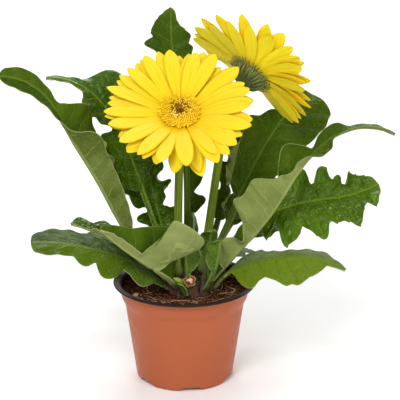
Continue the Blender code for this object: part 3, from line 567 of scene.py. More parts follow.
def leaf_body(shape, seed):
    """One leaf by the solids' rule, on a finer grid: quilted between its veins, waved along
    its margin, thin, with a round midrib under it, on a round petiole."""
    chance = np.random.default_rng(seed)
    petiole, columns = shape["petiole"], LEAF_COLUMNS
    young = shape["name"].startswith("young")
    rows = YOUNG_ROWS if young else LEAF_ROWS
    # How bright each half is: young leaves' own green, and on grown leaves partly painted light on the
    # half that faces the light
    fresh = FRESH_YOUNG if young else shape["fresh"]
    relief = MM * (YOUNG_RELIEF if young else 1)
    quilt, wave = shape["quilt"] * relief, shape["wave"] * relief
    count, deep = shape["teeth"]
    bare = max(5, int(rows * petiole * 0.5))
    share = np.concatenate([
        np.linspace(0, petiole, bare, endpoint=False), np.linspace(petiole, 1, rows - bare)])
    points, ways, head = midrib(shape, share)
    flat = np.stack([-np.sin(head), np.cos(head), np.zeros(rows)], -1)
    above = np.cross(ways, flat)
    roll = np.radians(smooth_at(shape["roll"], share))[:, None]
    side = flat * np.cos(roll) + above * np.sin(roll)
    above = above * np.cos(roll) - flat * np.sin(roll)
    blade = np.clip((share - petiole) / (1 - petiole), 0, 1)
    blade_length = shape["length"] * (1 - petiole)
    tip_round = np.sqrt(np.clip(1 - (np.maximum(0, blade - 0.965) / 0.035) ** 2, 0.02, 1))
    least = PETIOLE_HALF_WIDTH * (1 - 0.6 * blade)
    wide = (rows, 2 * columns + 1)
    sheet, veins, place, reach = (np.zeros(wide + (3,)) for _ in range(4))
    lift, across_from, open_at = (np.zeros(wide) for _ in range(3))
    slow = chance.uniform(0, FULL_TURN, 4)
    for turn, half, column_of in ((1, "left", 0), (-1, "right", 1)):
        outline = lobed_at(shape[half], blade, shape["lobing"])
        tooth = (blade * count + slow[2 + column_of] + 0.35 * np.sin(9 * blade)) % 1
        outline = outline + deep * MM * tooth**3 * np.clip(outline / (14 * MM), 0, 1)
        width = np.where(blade > 0, np.maximum(outline, least), least)
        opened = np.clip((width - least) / FOLD_FULL_WIDTH, 0, 1)
        width = width * tip_round
        fold = np.radians(smooth_at(shape["fold_" + half], blade)) * opened
        curl = np.radians(smooth_at(shape["curl_" + half], blade)) * opened
        sweep = np.tan(np.radians(smooth_at(shape["sweep_" + half], blade)))[:, None]
        forward = ways * sweep * opened[:, None]
        marks = vein_places(shape[half], blade_length)
        middles = (marks[1:] + marks[:-1]) / 2
        gaps = np.diff(marks) * blade_length / MM
        lean = 0.5 * np.mean(shape[half]) / blade_length
        reached = np.zeros((rows, 3))
        last_out = 0.0
        for k in range(columns + 1):
            out = (k / columns) ** 1.1
            column = columns + turn * k
            bent = (fold + curl * ((out + last_out) / 2) ** 2)[:, None]
            stride = (width * (out - last_out))[:, None]
            reached = reached + stride * (turn * side * np.cos(bent) + above * np.sin(bent) + forward)
            last_out = out
            sheet[:, column] = points + reached
            at = blade + lean * (1 - out)
            phase = np.interp(at, marks, np.arange(len(marks)))
            panel = 1 - np.abs(np.cos(np.pi * phase)) ** 1.6
            cross = 0.65 + 0.35 * np.sin(width * out / (1.3 * MM) + 5 * np.sin(phase * 2.1 + slow[0]))
            lift[:, column] = opened * (
                quilt * panel * cross * min(1, out * 4) * (1 - 0.5 * out**4)
                - wave * out**3 * np.cos(FULL_TURN * phase)
                + 0.7 * wave * out**2 * np.sin(9 * blade + slow[1 + column_of]))
            veins[:, column, column_of] = phase
            veins[:, column, 2] = turn * out
            place[:, column, 0] = blade
            place[:, column, 1] = fresh[column_of]
            place[:, column, 2] = np.interp(at, middles, gaps)
            reach[:, column, 0] = width * out / MM
            reach[:, column, 1] = width * (1 - out) / MM
            across_from[:, column] = width * out
            open_at[:, column] = opened
    place[:, columns, 1] = np.mean(fresh)
    # How whitish the leaf is, most of all its underside: its own tone where high, painted shade where low
    reach[..., 2] = shape["pale"]
    if shape["dark_tail"]:
        reach[..., 2] *= 1 - 0.9 * np.clip((blade - 0.55) / 0.15, 0, 1)[:, None]
    sheet = sheet + grid_normals(sheet) * lift[..., None]
    normals = grid_normals(sheet)
    out = np.abs(veins[..., 2])
    ridge_wide = (2.3 - 1.6 * blade)[:, None] * MM
    ridge = (1.9 * (1 - blade) ** 0.8 + 0.2)[:, None] * MM * np.exp(-((across_from / ridge_wide) ** 2))
    round_half = 1.05 * PETIOLE_HALF_THICKNESS * np.sqrt(1 - (0.93 * out) ** 2)
    opening = np.clip(open_at * 1.6, 0, 1)
    thin = 1 - 0.5 * out**6
    under = (round_half * (1 - opening) + (SHEET_HALF + ridge) * opening) * thin
    over = (round_half * 0.8 * (1 - opening) + (SHEET_HALF + 0.2 * ridge) * opening) * thin
    # The petiole's end goes on into the crown
    radial = outward(*shape["root"])
    seat = np.full((rows, 1, 1), root_seat(side[0], above[0], radial))
    seat[0] -= 3.5 * MM
    sheet = sheet + radial * seat + CROWN_CENTRE
    return sheet_body(
        sheet + normals * over[..., None], sheet - normals * under[..., None],
        {"veins": veins, "place": place, "reach": reach}, 1)


# Flowers

def head_matrix(flower):
    """Place and turn of a flower's head: its own Z is the way that it faces."""
    facing = Vector(flower["axis"]).normalized()
    sideways = Vector((0, 0, 1)).cross(facing).normalized()
    upward = facing.cross(sideways)
    turn = Matrix((sideways, upward, facing)).transposed().to_4x4()
    return Matrix.Translation(Vector(flower["centre"]) * MM) @ turn


def petal_width(share, point):
    """Half width of a petal: the solids' stations, run smooth. point: how early its tip narrows."""
    fine = np.linspace(0, 1, 101)
    width = np.interp(fine**(1 - 0.3 * point), PETAL_STATIONS, PETAL_HALF_WIDTHS)
    for _ in range(8):
        width[1:-1] = (width[:-2] + 2 * width[1:-1] + width[2:]) / 4
    return np.interp(share, fine, width) * MM


def petal_body(flower, angle, reach, layer, slimness, chance):
    """One petal in the head's own frame: a thin blade with soft furrows, arched and a little
    twisted, from the hub to its rounded tip. reach: its share of the flower's."""
    reach = flower["reach"] * MM * reach
    saddle = flower["saddle"] * np.cos(2 * (angle - np.radians(flower["saddle_at"])))
    tilt = flower["tilt"] * np.cos(angle - np.radians(flower["tilt_at"]))
    rise = flower["cup"] - saddle + tilt - layer * LAYER_OPENING
    if layer and np.cos(angle - np.radians(flower["droop_at"])) > np.cos(np.radians(15)):
        rise -= flower["droop"]
    rise = np.radians(rise + chance.uniform(-2.4, 2.4))
    out = level_way(angle + np.radians(chance.uniform(-3.5, 3.5)))
    share = 1 - (1 - np.linspace(0, 1, 29)) ** 1.35
    distance = PETAL_ROOT + (reach - PETAL_ROOT) * share
    beyond = np.maximum(0, distance - HUB_RADIUS)
    flat = np.minimum(distance, HUB_RADIUS)
    part = beyond / (reach - HUB_RADIUS)
    arch = chance.uniform(0.4, 2.2) * MM * np.sin(np.pi * part) - chance.uniform(0, 1.6) * MM * part**3
    bend = chance.uniform(-1.5, 1.5) * MM * part**2
    middle = (
        out * (flat + beyond * np.cos(rise))[:, None]
        + UP * (beyond * np.sin(rise) - layer * LAYER_DROP + arch)[:, None]
        + np.cross(UP, out) * bend[:, None])
    width = petal_width(share, chance.uniform(-0.5, 0.6)) * slimness * chance.uniform(0.96, 1.14)
    across = np.linspace(-1, 1, 11)
    twist = chance.uniform(0.03, 0.17) * np.minimum(1, 3 * part)
    fullness = np.clip(width / (6 * MM), 0, 1)[:, None]
    furrow = 0.2 * MM * np.cos(3 * np.pi * across) * fullness
    edge = -0.9 * MM * across**2 * fullness * chance.uniform(-0.1, 0.6)
    height = furrow + edge + (width * np.tan(twist))[:, None] * across
    # The tip ends in three small blunt teeth
    near_tip = np.clip((share - 0.9) / 0.1, 0, 1)[:, None]
    nick = 1.0 * MM * near_tip * np.abs(np.sin(1.5 * np.pi * across)) * (np.abs(across) < 0.8)
    grid = strap(middle, out, width, across) + UP * height[..., None] - out * nick[..., None]
    near_root = np.clip(0.3 - share, 0, 1)[:, None]
    half = UP * (0.26 * MM * (1 - 0.6 * across**4) + 0.25 * MM * near_root)[..., None]
    paint = triples(grid.shape, share[:, None], across, chance.uniform())
    return sheet_body(grid + half, grid - half, {"place": paint}, 1)


def rays_body(flower):
    """Two layers of petals round their hub, with slimmer and shorter ones between them."""
    lengths = np.random.default_rng(flower["seed"])
    chance = np.random.default_rng(flower["seed"] + SEEDS["petals"])
    radii = np.array([0.4, 12.4, 13.0, 13.0, 12.4, 0.4]) * MM
    levels = (HUB_BOTTOM, HUB_BOTTOM, HUB_BOTTOM + 0.5 * MM, HUB_TOP - 0.4 * MM, HUB_TOP, HUB_TOP)
    bodies = [ringed(rings_at(radii, levels, HEAD_SEGMENTS))]
    for layer in range(2):
        for k in range(PETALS_A_LAYER):
            around = FULL_TURN * (k + layer / 2) / PETALS_A_LAYER
            reach = (1 - 0.04 * layer) * lengths.uniform(0.89, 1.0)
            bodies.append(petal_body(flower, around, reach, layer, PETAL_SLIMNESS, chance))
    for k in range(PETALS_A_LAYER):
        around = FULL_TURN * (k + 0.25 + chance.uniform(-0.1, 0.1)) / PETALS_A_LAYER
        reach = chance.uniform(0.86, 0.965)
        bodies.append(petal_body(flower, around, reach, BETWEEN_LAYER, BETWEEN_SLIMNESS, chance))
    return joined(bodies)


def disc_profile(share):
    """Level of the disc's dome at a share of its radius, with the dip in its middle."""
    stations = (0.0, 0.3, 0.6, 0.85, 1.0)
    levels = (0.58, 0.64, 1.0, 0.72, 0.25)
    return HUB_TOP + GAP + DISC_HEIGHT * np.interp(share, stations, levels)


def floret(place, way, share, chance):
    """A small tube with a flared, pointed mouth, or a bud in the middle of the disc."""
    bud = share < BUDS_WITHIN
    height = (1.6 if bud else 2.0 + 0.9 * share) * MM * chance.uniform(0.85, 1.15)
    radius = (0.55 if bud else 0.52 + 0.16 * share) * MM
    angle = circle(10) + FULL_TURN * chance.uniform() / 10
    ring = radius * spokes(way, (0.3, 0.9, 0.1), -angle)
    star = np.where(np.arange(10) % 2 == 0, 1.0, 0.62)[:, None]
    rings = np.array([
        place + way * height * level + ring * wide * (1 - pointed + pointed * star)
        for level, wide, pointed in (BUD if bud else OPEN)])
    along = np.linspace(0, 1, len(rings))[:, None]
    return ringed(rings, along, share, chance.uniform())


def disc_body(flower):
    """Some hundreds of florets in the order that sunflower seeds have, on a low dome."""
    chance = np.random.default_rng(flower["seed"] + SEEDS["florets"])
    share = np.linspace(1.0, 0.05, 14)
    radii = np.append(DISC_RADIUS - 4 * MM, (DISC_RADIUS - 2.2 * MM) * share)
    levels = np.append(HUB_TOP + GAP, disc_profile(share) - 0.9 * MM)
    far = radii[:, None] / DISC_RADIUS
    bodies = [ringed(rings_at(radii, levels, HEAD_SEGMENTS), 0, far)]
    for k in range(DISC_FLORETS):
        share = np.sqrt((k + 0.5) / DISC_FLORETS)
        out = level_way(k * np.radians(GOLDEN_ANGLE))
        tilt = -0.35 * share if share < 0.35 else 0.75 * share**2 + 0.05
        place = out * (DISC_RADIUS - 2.4 * MM) * share + UP * (disc_profile(share) - 1.5 * MM)
        bodies.append(floret(place, unit(out * tilt + UP), share, chance))
    # Short two-lipped florets lean out over the roots of the petals
    along = np.linspace(0, 1, len(RIM_HALF_WIDTHS))
    across = np.linspace(-1, 1, 5)
    for k in range(RIM_FLORETS):
        out = level_way(FULL_TURN * (k + chance.uniform(-0.4, 0.4)) / RIM_FLORETS)
        rise = chance.uniform(0.02, 0.42)
        length = chance.uniform(2.6, 5.8) * MM
        start = out * (DISC_RADIUS - 4.2 * MM) + UP * (HUB_TOP + 1.2 * MM)
        line = start + length * along[:, None] * (out * np.cos(rise) + UP * np.sin(rise))
        grid = strap(line, out, RIM_HALF_WIDTHS, across) + UP * (0.25 * MM * across**2)[:, None]
        bodies.append(thick_strap(grid, UP * 0.16 * MM, along, 1.1, chance))
    return joined(bodies)


def bracts_body(flower):
    """The green cup, closed and smooth, under rows of narrow pointed bracts."""
    chance = np.random.default_rng(flower["seed"] + SEEDS["bracts"])
    along = np.linspace(0, 1, len(CUP_RADII))[:, None]
    bodies = [ringed(rings_at(CUP_RADII, CUP_LEVELS, HEAD_SEGMENTS), along)]
    path = np.linspace(0, 1, len(BRACT_RADII))
    part = np.linspace(0, 1, 10)
    across = np.linspace(-1, 1, 5)
    for row, (count, low, high, off, wide) in enumerate(BRACT_ROWS):
        for k in range(count):
            off_middle = 0.5 * (row % 2) + chance.uniform(-0.25, 0.25)
            out = level_way(FULL_TURN * (k + off_middle) / count)
            share = np.linspace(low, high + chance.uniform(-0.06, 0.06), len(part))
            beyond = np.maximum(0, share - 1) * MM
            r = np.interp(share, path, BRACT_RADII) + beyond * 10
            level = np.interp(share, path, BRACT_LEVELS) + beyond * 2.4
            ways = unit(np.stack([np.gradient(r), np.gradient(level)], -1))
            thick = out * ways[:, 1:] - UP * ways[:, :1]
            bulge = off * MM * np.sin(np.pi * np.linspace(0.08, 0.75, len(part))) + 0.1 * MM
            line = out * r[:, None] + UP * level[:, None] + thick * bulge[:, None]
            half_width = wide * MM * (0.85 + 0.4 * part) * np.clip(1 - part**2.2, 0.03, 1)
            grid = strap(line, out, half_width, across)
            grid = grid + thick[:, None] * (0.35 * MM * (1 - across**2))[:, None]
            bodies.append(thick_strap(grid, (thick * 0.22 * MM)[:, None], part, 1, chance))
    return joined(bodies)


def stalk_body(flower):
    """The stalk on the same curve as its solid, finely ribbed, wider where it leaves the crown."""
    facing = unit(np.array(flower["axis"]))
    radial = outward(*flower["stalk_root"])
    lean = unit(np.array(flower["lean"]))
    low, high = np.array(flower["handles"]) * MM
    start = CROWN_CENTRE + radial * (CROWN_RADIUS + GAP)
    start = start + lean * STALK_RADIUS_LOW * np.sqrt(1 - (radial @ lean) ** 2)
    end = np.array(flower["centre"]) * MM - facing * (HEAD_DEPTH + GAP)
    share = np.linspace(0, 1, 60)[:, None]
    line = (
        start * (1 - share) ** 3
        + 3 * (start + lean * low) * share * (1 - share) ** 2
        + 3 * (end - facing * high) * share**2 * (1 - share)
        + end * share**3)
    line = np.vstack([line[0] - lean * 5 * MM, line])
    share = np.append(0, share)
    radius = STALK_RADIUS_LOW + (STALK_RADIUS_TOP - STALK_RADIUS_LOW) * share
    radius = radius + 0.5 * MM * np.exp(-share * 40)
    place = (share[:, None], np.arange(STALK_SEGMENTS) / STALK_SEGMENTS)
    return tube(line, radius, STALK_SEGMENTS, place, ripple=0.02, ridges=10)


# Pot, soil and crown

def notch_lift(degrees):
    """Height of the foot's notch at an angle: flat in its middle, with sloped sides."""
    between = 360 / NOTCHES
    off = np.abs((degrees - NOTCH_TURN + between / 2) % between - between / 2)
    share = np.clip((NOTCH_HALF_WIDTH - off) / (NOTCH_HALF_WIDTH / 2), 0, 1)
    return NOTCH_HEIGHT * share * share * (3 - 2 * share)


def bends(radius, level, *steps):
    """Rings of the pot near one radius and level. Each step: how far out and up from there, and
    how much of the foot's notches the ring takes part in, if any."""
    return [(radius + out * MM, level + up * MM, sum(lifted)) for out, up, *lifted in steps]


def pot_body():
    """The pot's shell: up its outer side, over its lip and down its inner side. Its faces
    from the lip's edge on have the second stuff."""
    share = np.linspace(0.08, 0.97, 14)
    outer = [
        *bends(BASE_FLAT_RADIUS, 0, (0, 0), (5, 0, 0.9)),
        *bends(FOOT_RADIUS, 0, (-1.9, 0.05, 1), (-1.3, 0.5, 0.85), (-0.8, 1.3, 0.6),
               (-0.4, 2.6, 0.35), (-0.1, 4.2, 0.1), (0.1, 6)),
        *zip(FOOT_RADIUS + (BODY_TOP_RADIUS - FOOT_RADIUS) * share,
             FOOT_LEVEL + (BODY_TOP_LEVEL - FOOT_LEVEL) * share, 0 * share),
        *bends(BODY_TOP_RADIUS, BODY_TOP_LEVEL, (0.1, 0), (0.6, 1)),
        *bends(COLLAR_RADIUS, COLLAR_LEVEL, (-1.2, -3), (-0.4, -1.2), (0, 0)),
        *bends(COLLAR_RADIUS, POT_HEIGHT, (0.6, -7.5), (1, -4.4), (1.4, -3.4), (2.3, -2.5), (3.4, -2))]
    lip = [
        *bends(COLLAR_RADIUS, POT_HEIGHT, (3.5, -1.9)),
        *bends(RIM_RADIUS, POT_HEIGHT, (-0.8, -1.5), (-0.2, -1.3), (0, -0.9), (-0.1, -0.3),
               (-0.5, 0), (-1.6, -0.05)),
        *bends(COLLAR_RADIUS, POT_HEIGHT, (2.6, -0.25), (1.4, -0.6), (0.5, -1.4)),
        *bends(COLLAR_RADIUS - WALL, POT_HEIGHT, (0.8, -3), (0.3, -6)),
        *bends(COLLAR_RADIUS - WALL, COLLAR_LEVEL, (0, 0)),
        *bends(BODY_TOP_RADIUS - WALL, BODY_TOP_LEVEL, (0.2, 0.6), (0, -1)),
        *bends(FOOT_RADIUS - WALL, FOOT_LEVEL, (-0.3, 0.6), (-2, -1.2)),
        *bends(BASE_FLAT_RADIUS, FLOOR, (1.5, 0))]
    profile = outer + lip
    angle = circle(POT_SEGMENTS)
    lift = notch_lift(np.degrees(angle))
    rings = np.array([ring_at(r, z + lift * lifted, angle) for r, z, lifted in profile])
    stuff = np.repeat(np.arange(len(profile) - 1) >= len(outer), POT_SEGMENTS)
    caps = np.repeat([0, 1], POT_SEGMENTS)
    return ringed(rings, stuff=np.concatenate([stuff, caps]))


def add_pot(materials):
    """The pot with its drain holes cut."""
    pot = add_piece("pot_shell", pot_body(), materials, ["pot"])
    pegs = []
    for k in range(NOTCHES):
        out = level_way(np.radians(NOTCH_TURN + 360 / NOTCHES * k))
        rings = rings_at((DRAIN_RADIUS, DRAIN_RADIUS), (-3 * MM, 4 * MM), 32)
        pegs.append(ringed(rings + out * DRAIN_RING))
    guide = linked("drain_guide", mesh_of("drain_guide", joined(pegs)))
    guide.data.shade_flat()
    cut = pot.modifiers.new("drain_holes", "BOOLEAN")
    cut.operation = "DIFFERENCE"
    cut.solver = "EXACT"
    cut.object = guide
    evaluated = pot.evaluated_get(bpy.context.evaluated_depsgraph_get())
    finished = bpy.data.meshes.new_from_object(evaluated)
    pot.modifiers.clear()
    pot.data = finished
    bpy.data.objects.remove(guide, do_unlink=True)


def bumps(x, y, seed, scale, octaves=4):
    """Smooth uneven ground: waves of several sizes that cross at all angles."""
    chance = np.random.default_rng(seed)
    height = np.zeros_like(x)
    for octave in range(octaves):
        for _ in range(5):
            way = chance.uniform(0, FULL_TURN)
            rate = FULL_TURN / (scale / 1.9**octave) * chance.uniform(0.7, 1.3)
            along = x * np.cos(way) + y * np.sin(way)
            height += np.sin(rate * along + chance.uniform(0, 6.3)) / 1.7**octave
    return height / 5


def soil_level(x, y):
    """Level of the soil's top: uneven, a little higher round the crown and at the wall."""
    far = np.hypot(x, y) / SOIL_RADIUS
    near = np.hypot(x - CROWN_CENTRE[0], y - CROWN_CENTRE[1]) / (30 * MM)
    return (
        SOIL_LEVEL - 0.6 * MM + 2.6 * MM * np.exp(-near**2)
        + 3.2 * MM * far**4 + 1.1 * MM * bumps(x, y, 4, 20 * MM) * (1 - 0.5 * far**4))


def soil_body():
    """The soil as one closed body with a fine crumbly top."""
    angle = circle(SOIL_SEGMENTS)
    rings = [ring_at(r * MM, z * MM, angle) for r, z in SOIL_SIDES]
    for share in np.linspace(1, 0.01, SOIL_ROWS):
        x, y = SOIL_RADIUS * share * np.cos(angle), SOIL_RADIUS * share * np.sin(angle)
        z = soil_level(x, y) + 0.5 * MM * bumps(x, y, 9, 4 * MM, 3) * min(1, (1 - share) * 20 + 0.3)
        rings.append(np.stack([x, y, z], -1))
    return ringed(np.array(rings))


def lump(place, size, chance, flatten=0.8):
    """A small rough grain."""
    angle = circle(7) + chance.uniform(0, 6)
    rings = np.array([
        ring_at(np.cos(a), np.sin(a) * flatten, angle) for a in np.radians([-75, -40, 0, 40, 75])])
    rings = rings * chance.uniform(0.65, 1.25, (5, 7, 1)) * size * chance.uniform(0.7, 1.3, 3)
    return ringed(rings + place, chance.uniform())


def on_soil(chance, inner=0.0, outer=0.99):
    """A chance place on the soil's top."""
    r = SOIL_RADIUS * np.sqrt(chance.uniform(inner**2, outer**2))
    angle = chance.uniform(0, FULL_TURN)
    x, y = r * np.cos(angle), r * np.sin(angle)
    return np.array([x, y, soil_level(x, y)])


def grains_body():
    """Crumbs of peat and bits of bark on the soil."""
    chance = np.random.default_rng(SEEDS["grains"])
    bodies = []
    for _ in range(GRAINS):
        size = chance.uniform(0.35, 1.3) ** 1.3 * MM
        bodies.append(lump(on_soil(chance) + UP * 0.25 * size, size, chance))
    return joined(bodies)


def strand(start, heading, length, radius, chance, curl, sides, rows, tone):
    """A fibre or root that wanders over the soil, dips in and out of it and ends in points."""
    point = start[:2]
    line = []
    step = length / (rows - 1)
    lift = chance.uniform(0.0, 1.4) * MM
    for k in range(rows):
        if np.hypot(*point) > SOIL_RADIUS * 0.97:
            heading = np.arctan2(-point[1], -point[0]) + chance.uniform(-0.8, 0.8)
        z = soil_level(point[0], point[1]) + radius + lift * np.sin(np.pi * k / (rows - 1))
        line.append([point[0], point[1], z])
        heading += chance.uniform(-curl, curl)
        point = point + step * np.array([np.cos(heading), np.sin(heading)])
    line = np.array(line)
    for _ in range(2):
        line[1:-1] = (line[:-2] + 2 * line[1:-1] + line[2:]) / 4
    share = np.clip(np.linspace(0, 1, rows), 0.02, 0.98)
    thick = radius * (0.25 + 0.75 * np.sqrt(np.sin(np.pi * share)))
    return tube(line, thick, sides, (tone,))


def fibres_body():
    """Reddish fibres all over the soil."""
    chance = np.random.default_rng(SEEDS["fibres"])
    bodies = []
    for _ in range(FIBRES):
        place = on_soil(chance, 0.2)
        bodies.append(strand(
            place, chance.uniform(0, 6.3), chance.uniform(4, 16) * MM,
            chance.uniform(0.09, 0.24) * MM, chance, 0.55, 4, 10, chance.uniform()))
    return joined(bodies)


def roots_body():
    """A few long pale roots, and fine ones that lie on the soil in front of the crown."""
    chance = np.random.default_rng(SEEDS["roots"])
    bodies = []
    for angle, share, heading, length in ROOTS:
        bodies.append(strand(
            level_way(np.radians(angle)) * SOIL_RADIUS * share, np.radians(heading), length * MM,
            chance.uniform(0.16, 0.28) * MM, chance, 0.28, 7, 30, chance.uniform(0.3, 1)))
    for _ in range(FINE_ROOTS):
        turn = np.radians(chance.uniform(195, 345))
        start = level_way(turn) * SOIL_RADIUS * chance.uniform(0.5, 0.96)
        along = turn + np.pi / 2 + chance.uniform(-0.7, 0.7)
        bodies.append(strand(
            start, along, chance.uniform(8, 28) * MM, chance.uniform(0.07, 0.15) * MM, chance,
            0.3, 5, 18, chance.uniform(0.1, 0.9)))
    return joined(bodies)


def chips_body():
    """Flat bits of bark on the soil, one of them pale."""
    chance = np.random.default_rng(SEEDS["bark"])
    bodies = []
    places = [(np.array([-41.0, -22.0]) * MM, 3.6 * MM, 1.0)]
    for _ in range(CHIPS):
        at = on_soil(chance, 0.25)
        places.append((at[:2], chance.uniform(0.8, 1.9) * MM, chance.uniform(0, 0.45)))
    for (x, y), size, tone in places:
        chip = lump(np.zeros(3), size, chance, 0.35)
        pitch = Matrix.Rotation(chance.uniform(-0.5, 0.5), 3, "X")
        tilt = np.array(pitch @ Matrix.Rotation(chance.uniform(-0.5, 0.5), 3, "Y"))
        chip["points"] = chip["points"] @ tilt.T + [x, y, soil_level(x, y) + 0.4 * size]
        chip["paint"]["place"][:, 0] = tone
        bodies.append(chip)
    return joined(bodies)


def crown_body():
    """The knot of old leaf bases that everything grows from, with torn sheaths round it."""
    chance = np.random.default_rng(SEEDS["crown"])
    angle = circle(64)
    base = (SOIL_LEVEL - 3 * MM - CROWN_CENTRE[2]) / CROWN_RADIUS
    rings = []
    for a in np.linspace(np.arcsin(base), np.radians(84), 26):
        bumpy = 0.93 + 0.035 * np.sin(9 * angle + 3 * np.sin(5 * a)) + 0.03 * np.sin(17 * angle + 11 * a)
        r = CROWN_RADIUS * bumpy
        rings.append(ring_at(r * np.cos(a), r * np.sin(a), angle) + CROWN_CENTRE)
    bodies = [ringed(np.array(rings), np.linspace(0, 1, len(rings))[:, None])]
    part = np.linspace(0, 1, 9)
    across = np.linspace(-1, 1, 7)
    for k in range(SHEATHS):
        out = level_way(FULL_TURN * (k + chance.uniform(-0.35, 0.35)) / SHEATHS)
        level = np.radians(chance.uniform(2, 40))
        height = chance.uniform(6, 15) * MM
        half_width = chance.uniform(1.4, 3.4) * MM * (1 - 0.75 * part**2)
        lean = chance.uniform(0.15, 0.45)
        start = CROWN_CENTRE + CROWN_RADIUS * (out * np.cos(level) * 0.96 + UP * np.sin(level))
        line = start + height * (part[:, None] * UP + (lean * part**2)[:, None] * out)
        grid = strap(line, out, half_width, across)
        grid = grid - out * (0.45 * half_width[:, None] * across**2)[..., None]
        grid[-1, :, 2] += chance.uniform(-1.2, 1.2, 7) * MM
        bodies.append(thick_strap(grid, out * 0.4 * MM, part, 1, chance))
    return joined(bodies)


def stub_body():
    """The end of a cut flower stalk on the crown: green outside, with a pale core."""
    low = CROWN_CENTRE + np.array([0.0, -6.0, 13.0]) * MM
    top = CROWN_CENTRE + np.array([-0.5, -22.5, 19.0]) * MM
    angle = circle(32)
    ragged = 1 + 0.11 * np.sin(5 * angle + 1) + 0.08 * np.sin(9 * angle)
    around = spokes(unit(top - low), UP, angle) * ragged[:, None] * MM
    along, radius, tone = np.array(STUB).T[..., None, None]
    rings = low + (top - low) * along + around * radius
    return ringed(rings, tone[..., 0])


def bud_body():
    """A flower bud that still lies on the crown, a plump spindle in ribbed green bracts."""
    low = CROWN_CENTRE + np.array([-3.0, -14.0, 11.0]) * MM
    top = CROWN_CENTRE + np.array([-14.0, -19.5, 20.5]) * MM
    angle = circle(36)
    along = np.linspace(0.0, 1.0, 19)[:, None]
    radius = 2.9 * MM * np.sin(np.pi * np.clip(0.12 + 0.86 * along, 0, 0.985)) ** 0.75
    radius = radius * (1 + 0.06 * np.cos(9 * angle) * np.sin(np.pi * along))
    around = spokes(unit(top - low), UP, angle)
    rings = low + (top - low) * along[..., None] + around * radius[..., None]
    return ringed(rings, along)


# Materials

class Shade:
    """A material's nodes, made by short calls. Each call returns the socket that it made."""

    def __init__(self, name, roughness, specular=0.5, sheen=0.0, sheen_tint=(1, 1, 1), tint=(1, 1, 1)):
        self.material = bpy.data.materials.new(name)
        self.material.use_nodes = True
        self.tree = self.material.node_tree
        self.shader = self.tree.nodes["Principled BSDF"].inputs
        for title, value in (
                ("Roughness", roughness), ("Specular IOR Level", specular), ("Specular Tint", tint),
                ("Sheen Weight", sheen), ("Sheen Roughness", 0.5), ("Sheen Tint", sheen_tint)):
            self.put(self.shader[title], value)
        self.object_place = self.tree.nodes.new("ShaderNodeTexCoord").outputs["Object"]

    def put(self, socket, value):
        """Links a socket or sets it. Colours are given without their alpha, which is 1."""
        if isinstance(value, bpy.types.NodeSocket):
            self.tree.links.new(value, socket)
        else:
            socket.default_value = (*value, 1) if socket.type == "RGBA" else value

    def node(self, kind, inputs, **settings):
        """A new node's outputs. inputs: values or sockets by each input's number or name."""
        made = self.tree.nodes.new("ShaderNode" + kind)
        for title, value in settings.items():
            setattr(made, title, value)
        for key, value in inputs.items():
            self.put(made.inputs[key], value)
        return made.outputs

    def math(self, operation, first, second=0.0):
        return self.node("Math", {0: first, 1: second}, operation=operation)[0]

    def times(self, first, second):
        return self.math("MULTIPLY", first, second)

    def plus(self, first, second):
        return self.math("ADD", first, second)

    def minus(self, first, second):
        return self.math("SUBTRACT", first, second)

    def step(self, value, low, high):
        """0 up to low and 1 from high on, smooth between. low above high turns it round."""
        first, last = (0.0, 1.0) if low < high else (1.0, 0.0)
        inputs = {
            "Value": value, "From Min": min(low, high), "From Max": max(low, high),
            "To Min": first, "To Max": last}
        return self.node("MapRange", inputs, interpolation_type="SMOOTHSTEP")["Result"]

    def mix(self, share, first, second):
        return self.node("Mix", {0: share, 6: first, 7: second}, data_type="RGBA")[2]

    def over(self, base, mask, share, colour):
        """The base with a share of a colour over it where the mask is 1."""
        return self.mix(self.times(mask, share), base, colour)

    def blend(self, share, first, second):
        return self.node("Mix", {0: share, 2: first, 3: second})[0]

    def noise(self, scale, detail=2.0, vector=None, rough=0.5):
        return self.node("TexNoise", {
            "Vector": vector or self.object_place, "Scale": scale, "Detail": detail,
            "Roughness": rough})[0]

    def streaks(self, x, x_rate, y, y_rate, z=0.0, detail=3, rough=0.5):
        """Noise that is drawn out one way."""
        inputs = {0: self.times(x, x_rate), 1: self.times(y, y_rate), 2: z}
        return self.noise(1.0, detail, self.node("CombineXYZ", inputs)[0], rough)

    def cells(self, scale, feature):
        inputs = {"Vector": self.object_place, "Scale": scale}
        return self.node("TexVoronoi", inputs, feature=feature)["Distance"]

    def split(self, title):
        """The three numbers that a piece's points carry under this name."""
        vector = self.node("Attribute", {}, attribute_name=title)["Vector"]
        return tuple(self.node("SeparateXYZ", {0: vector}))

    def roughness(self, value):
        self.put(self.shader["Roughness"], value)

    def finish(self, colour, height, strength, distance):
        """The finished material. distance: how high its small relief is, in millimetres."""
        self.put(self.shader["Base Color"], colour)
        inputs = {"Strength": strength, "Distance": distance * MM, "Height": height}
        self.put(self.shader["Normal"], self.node("Bump", inputs)[0])
        return self.material


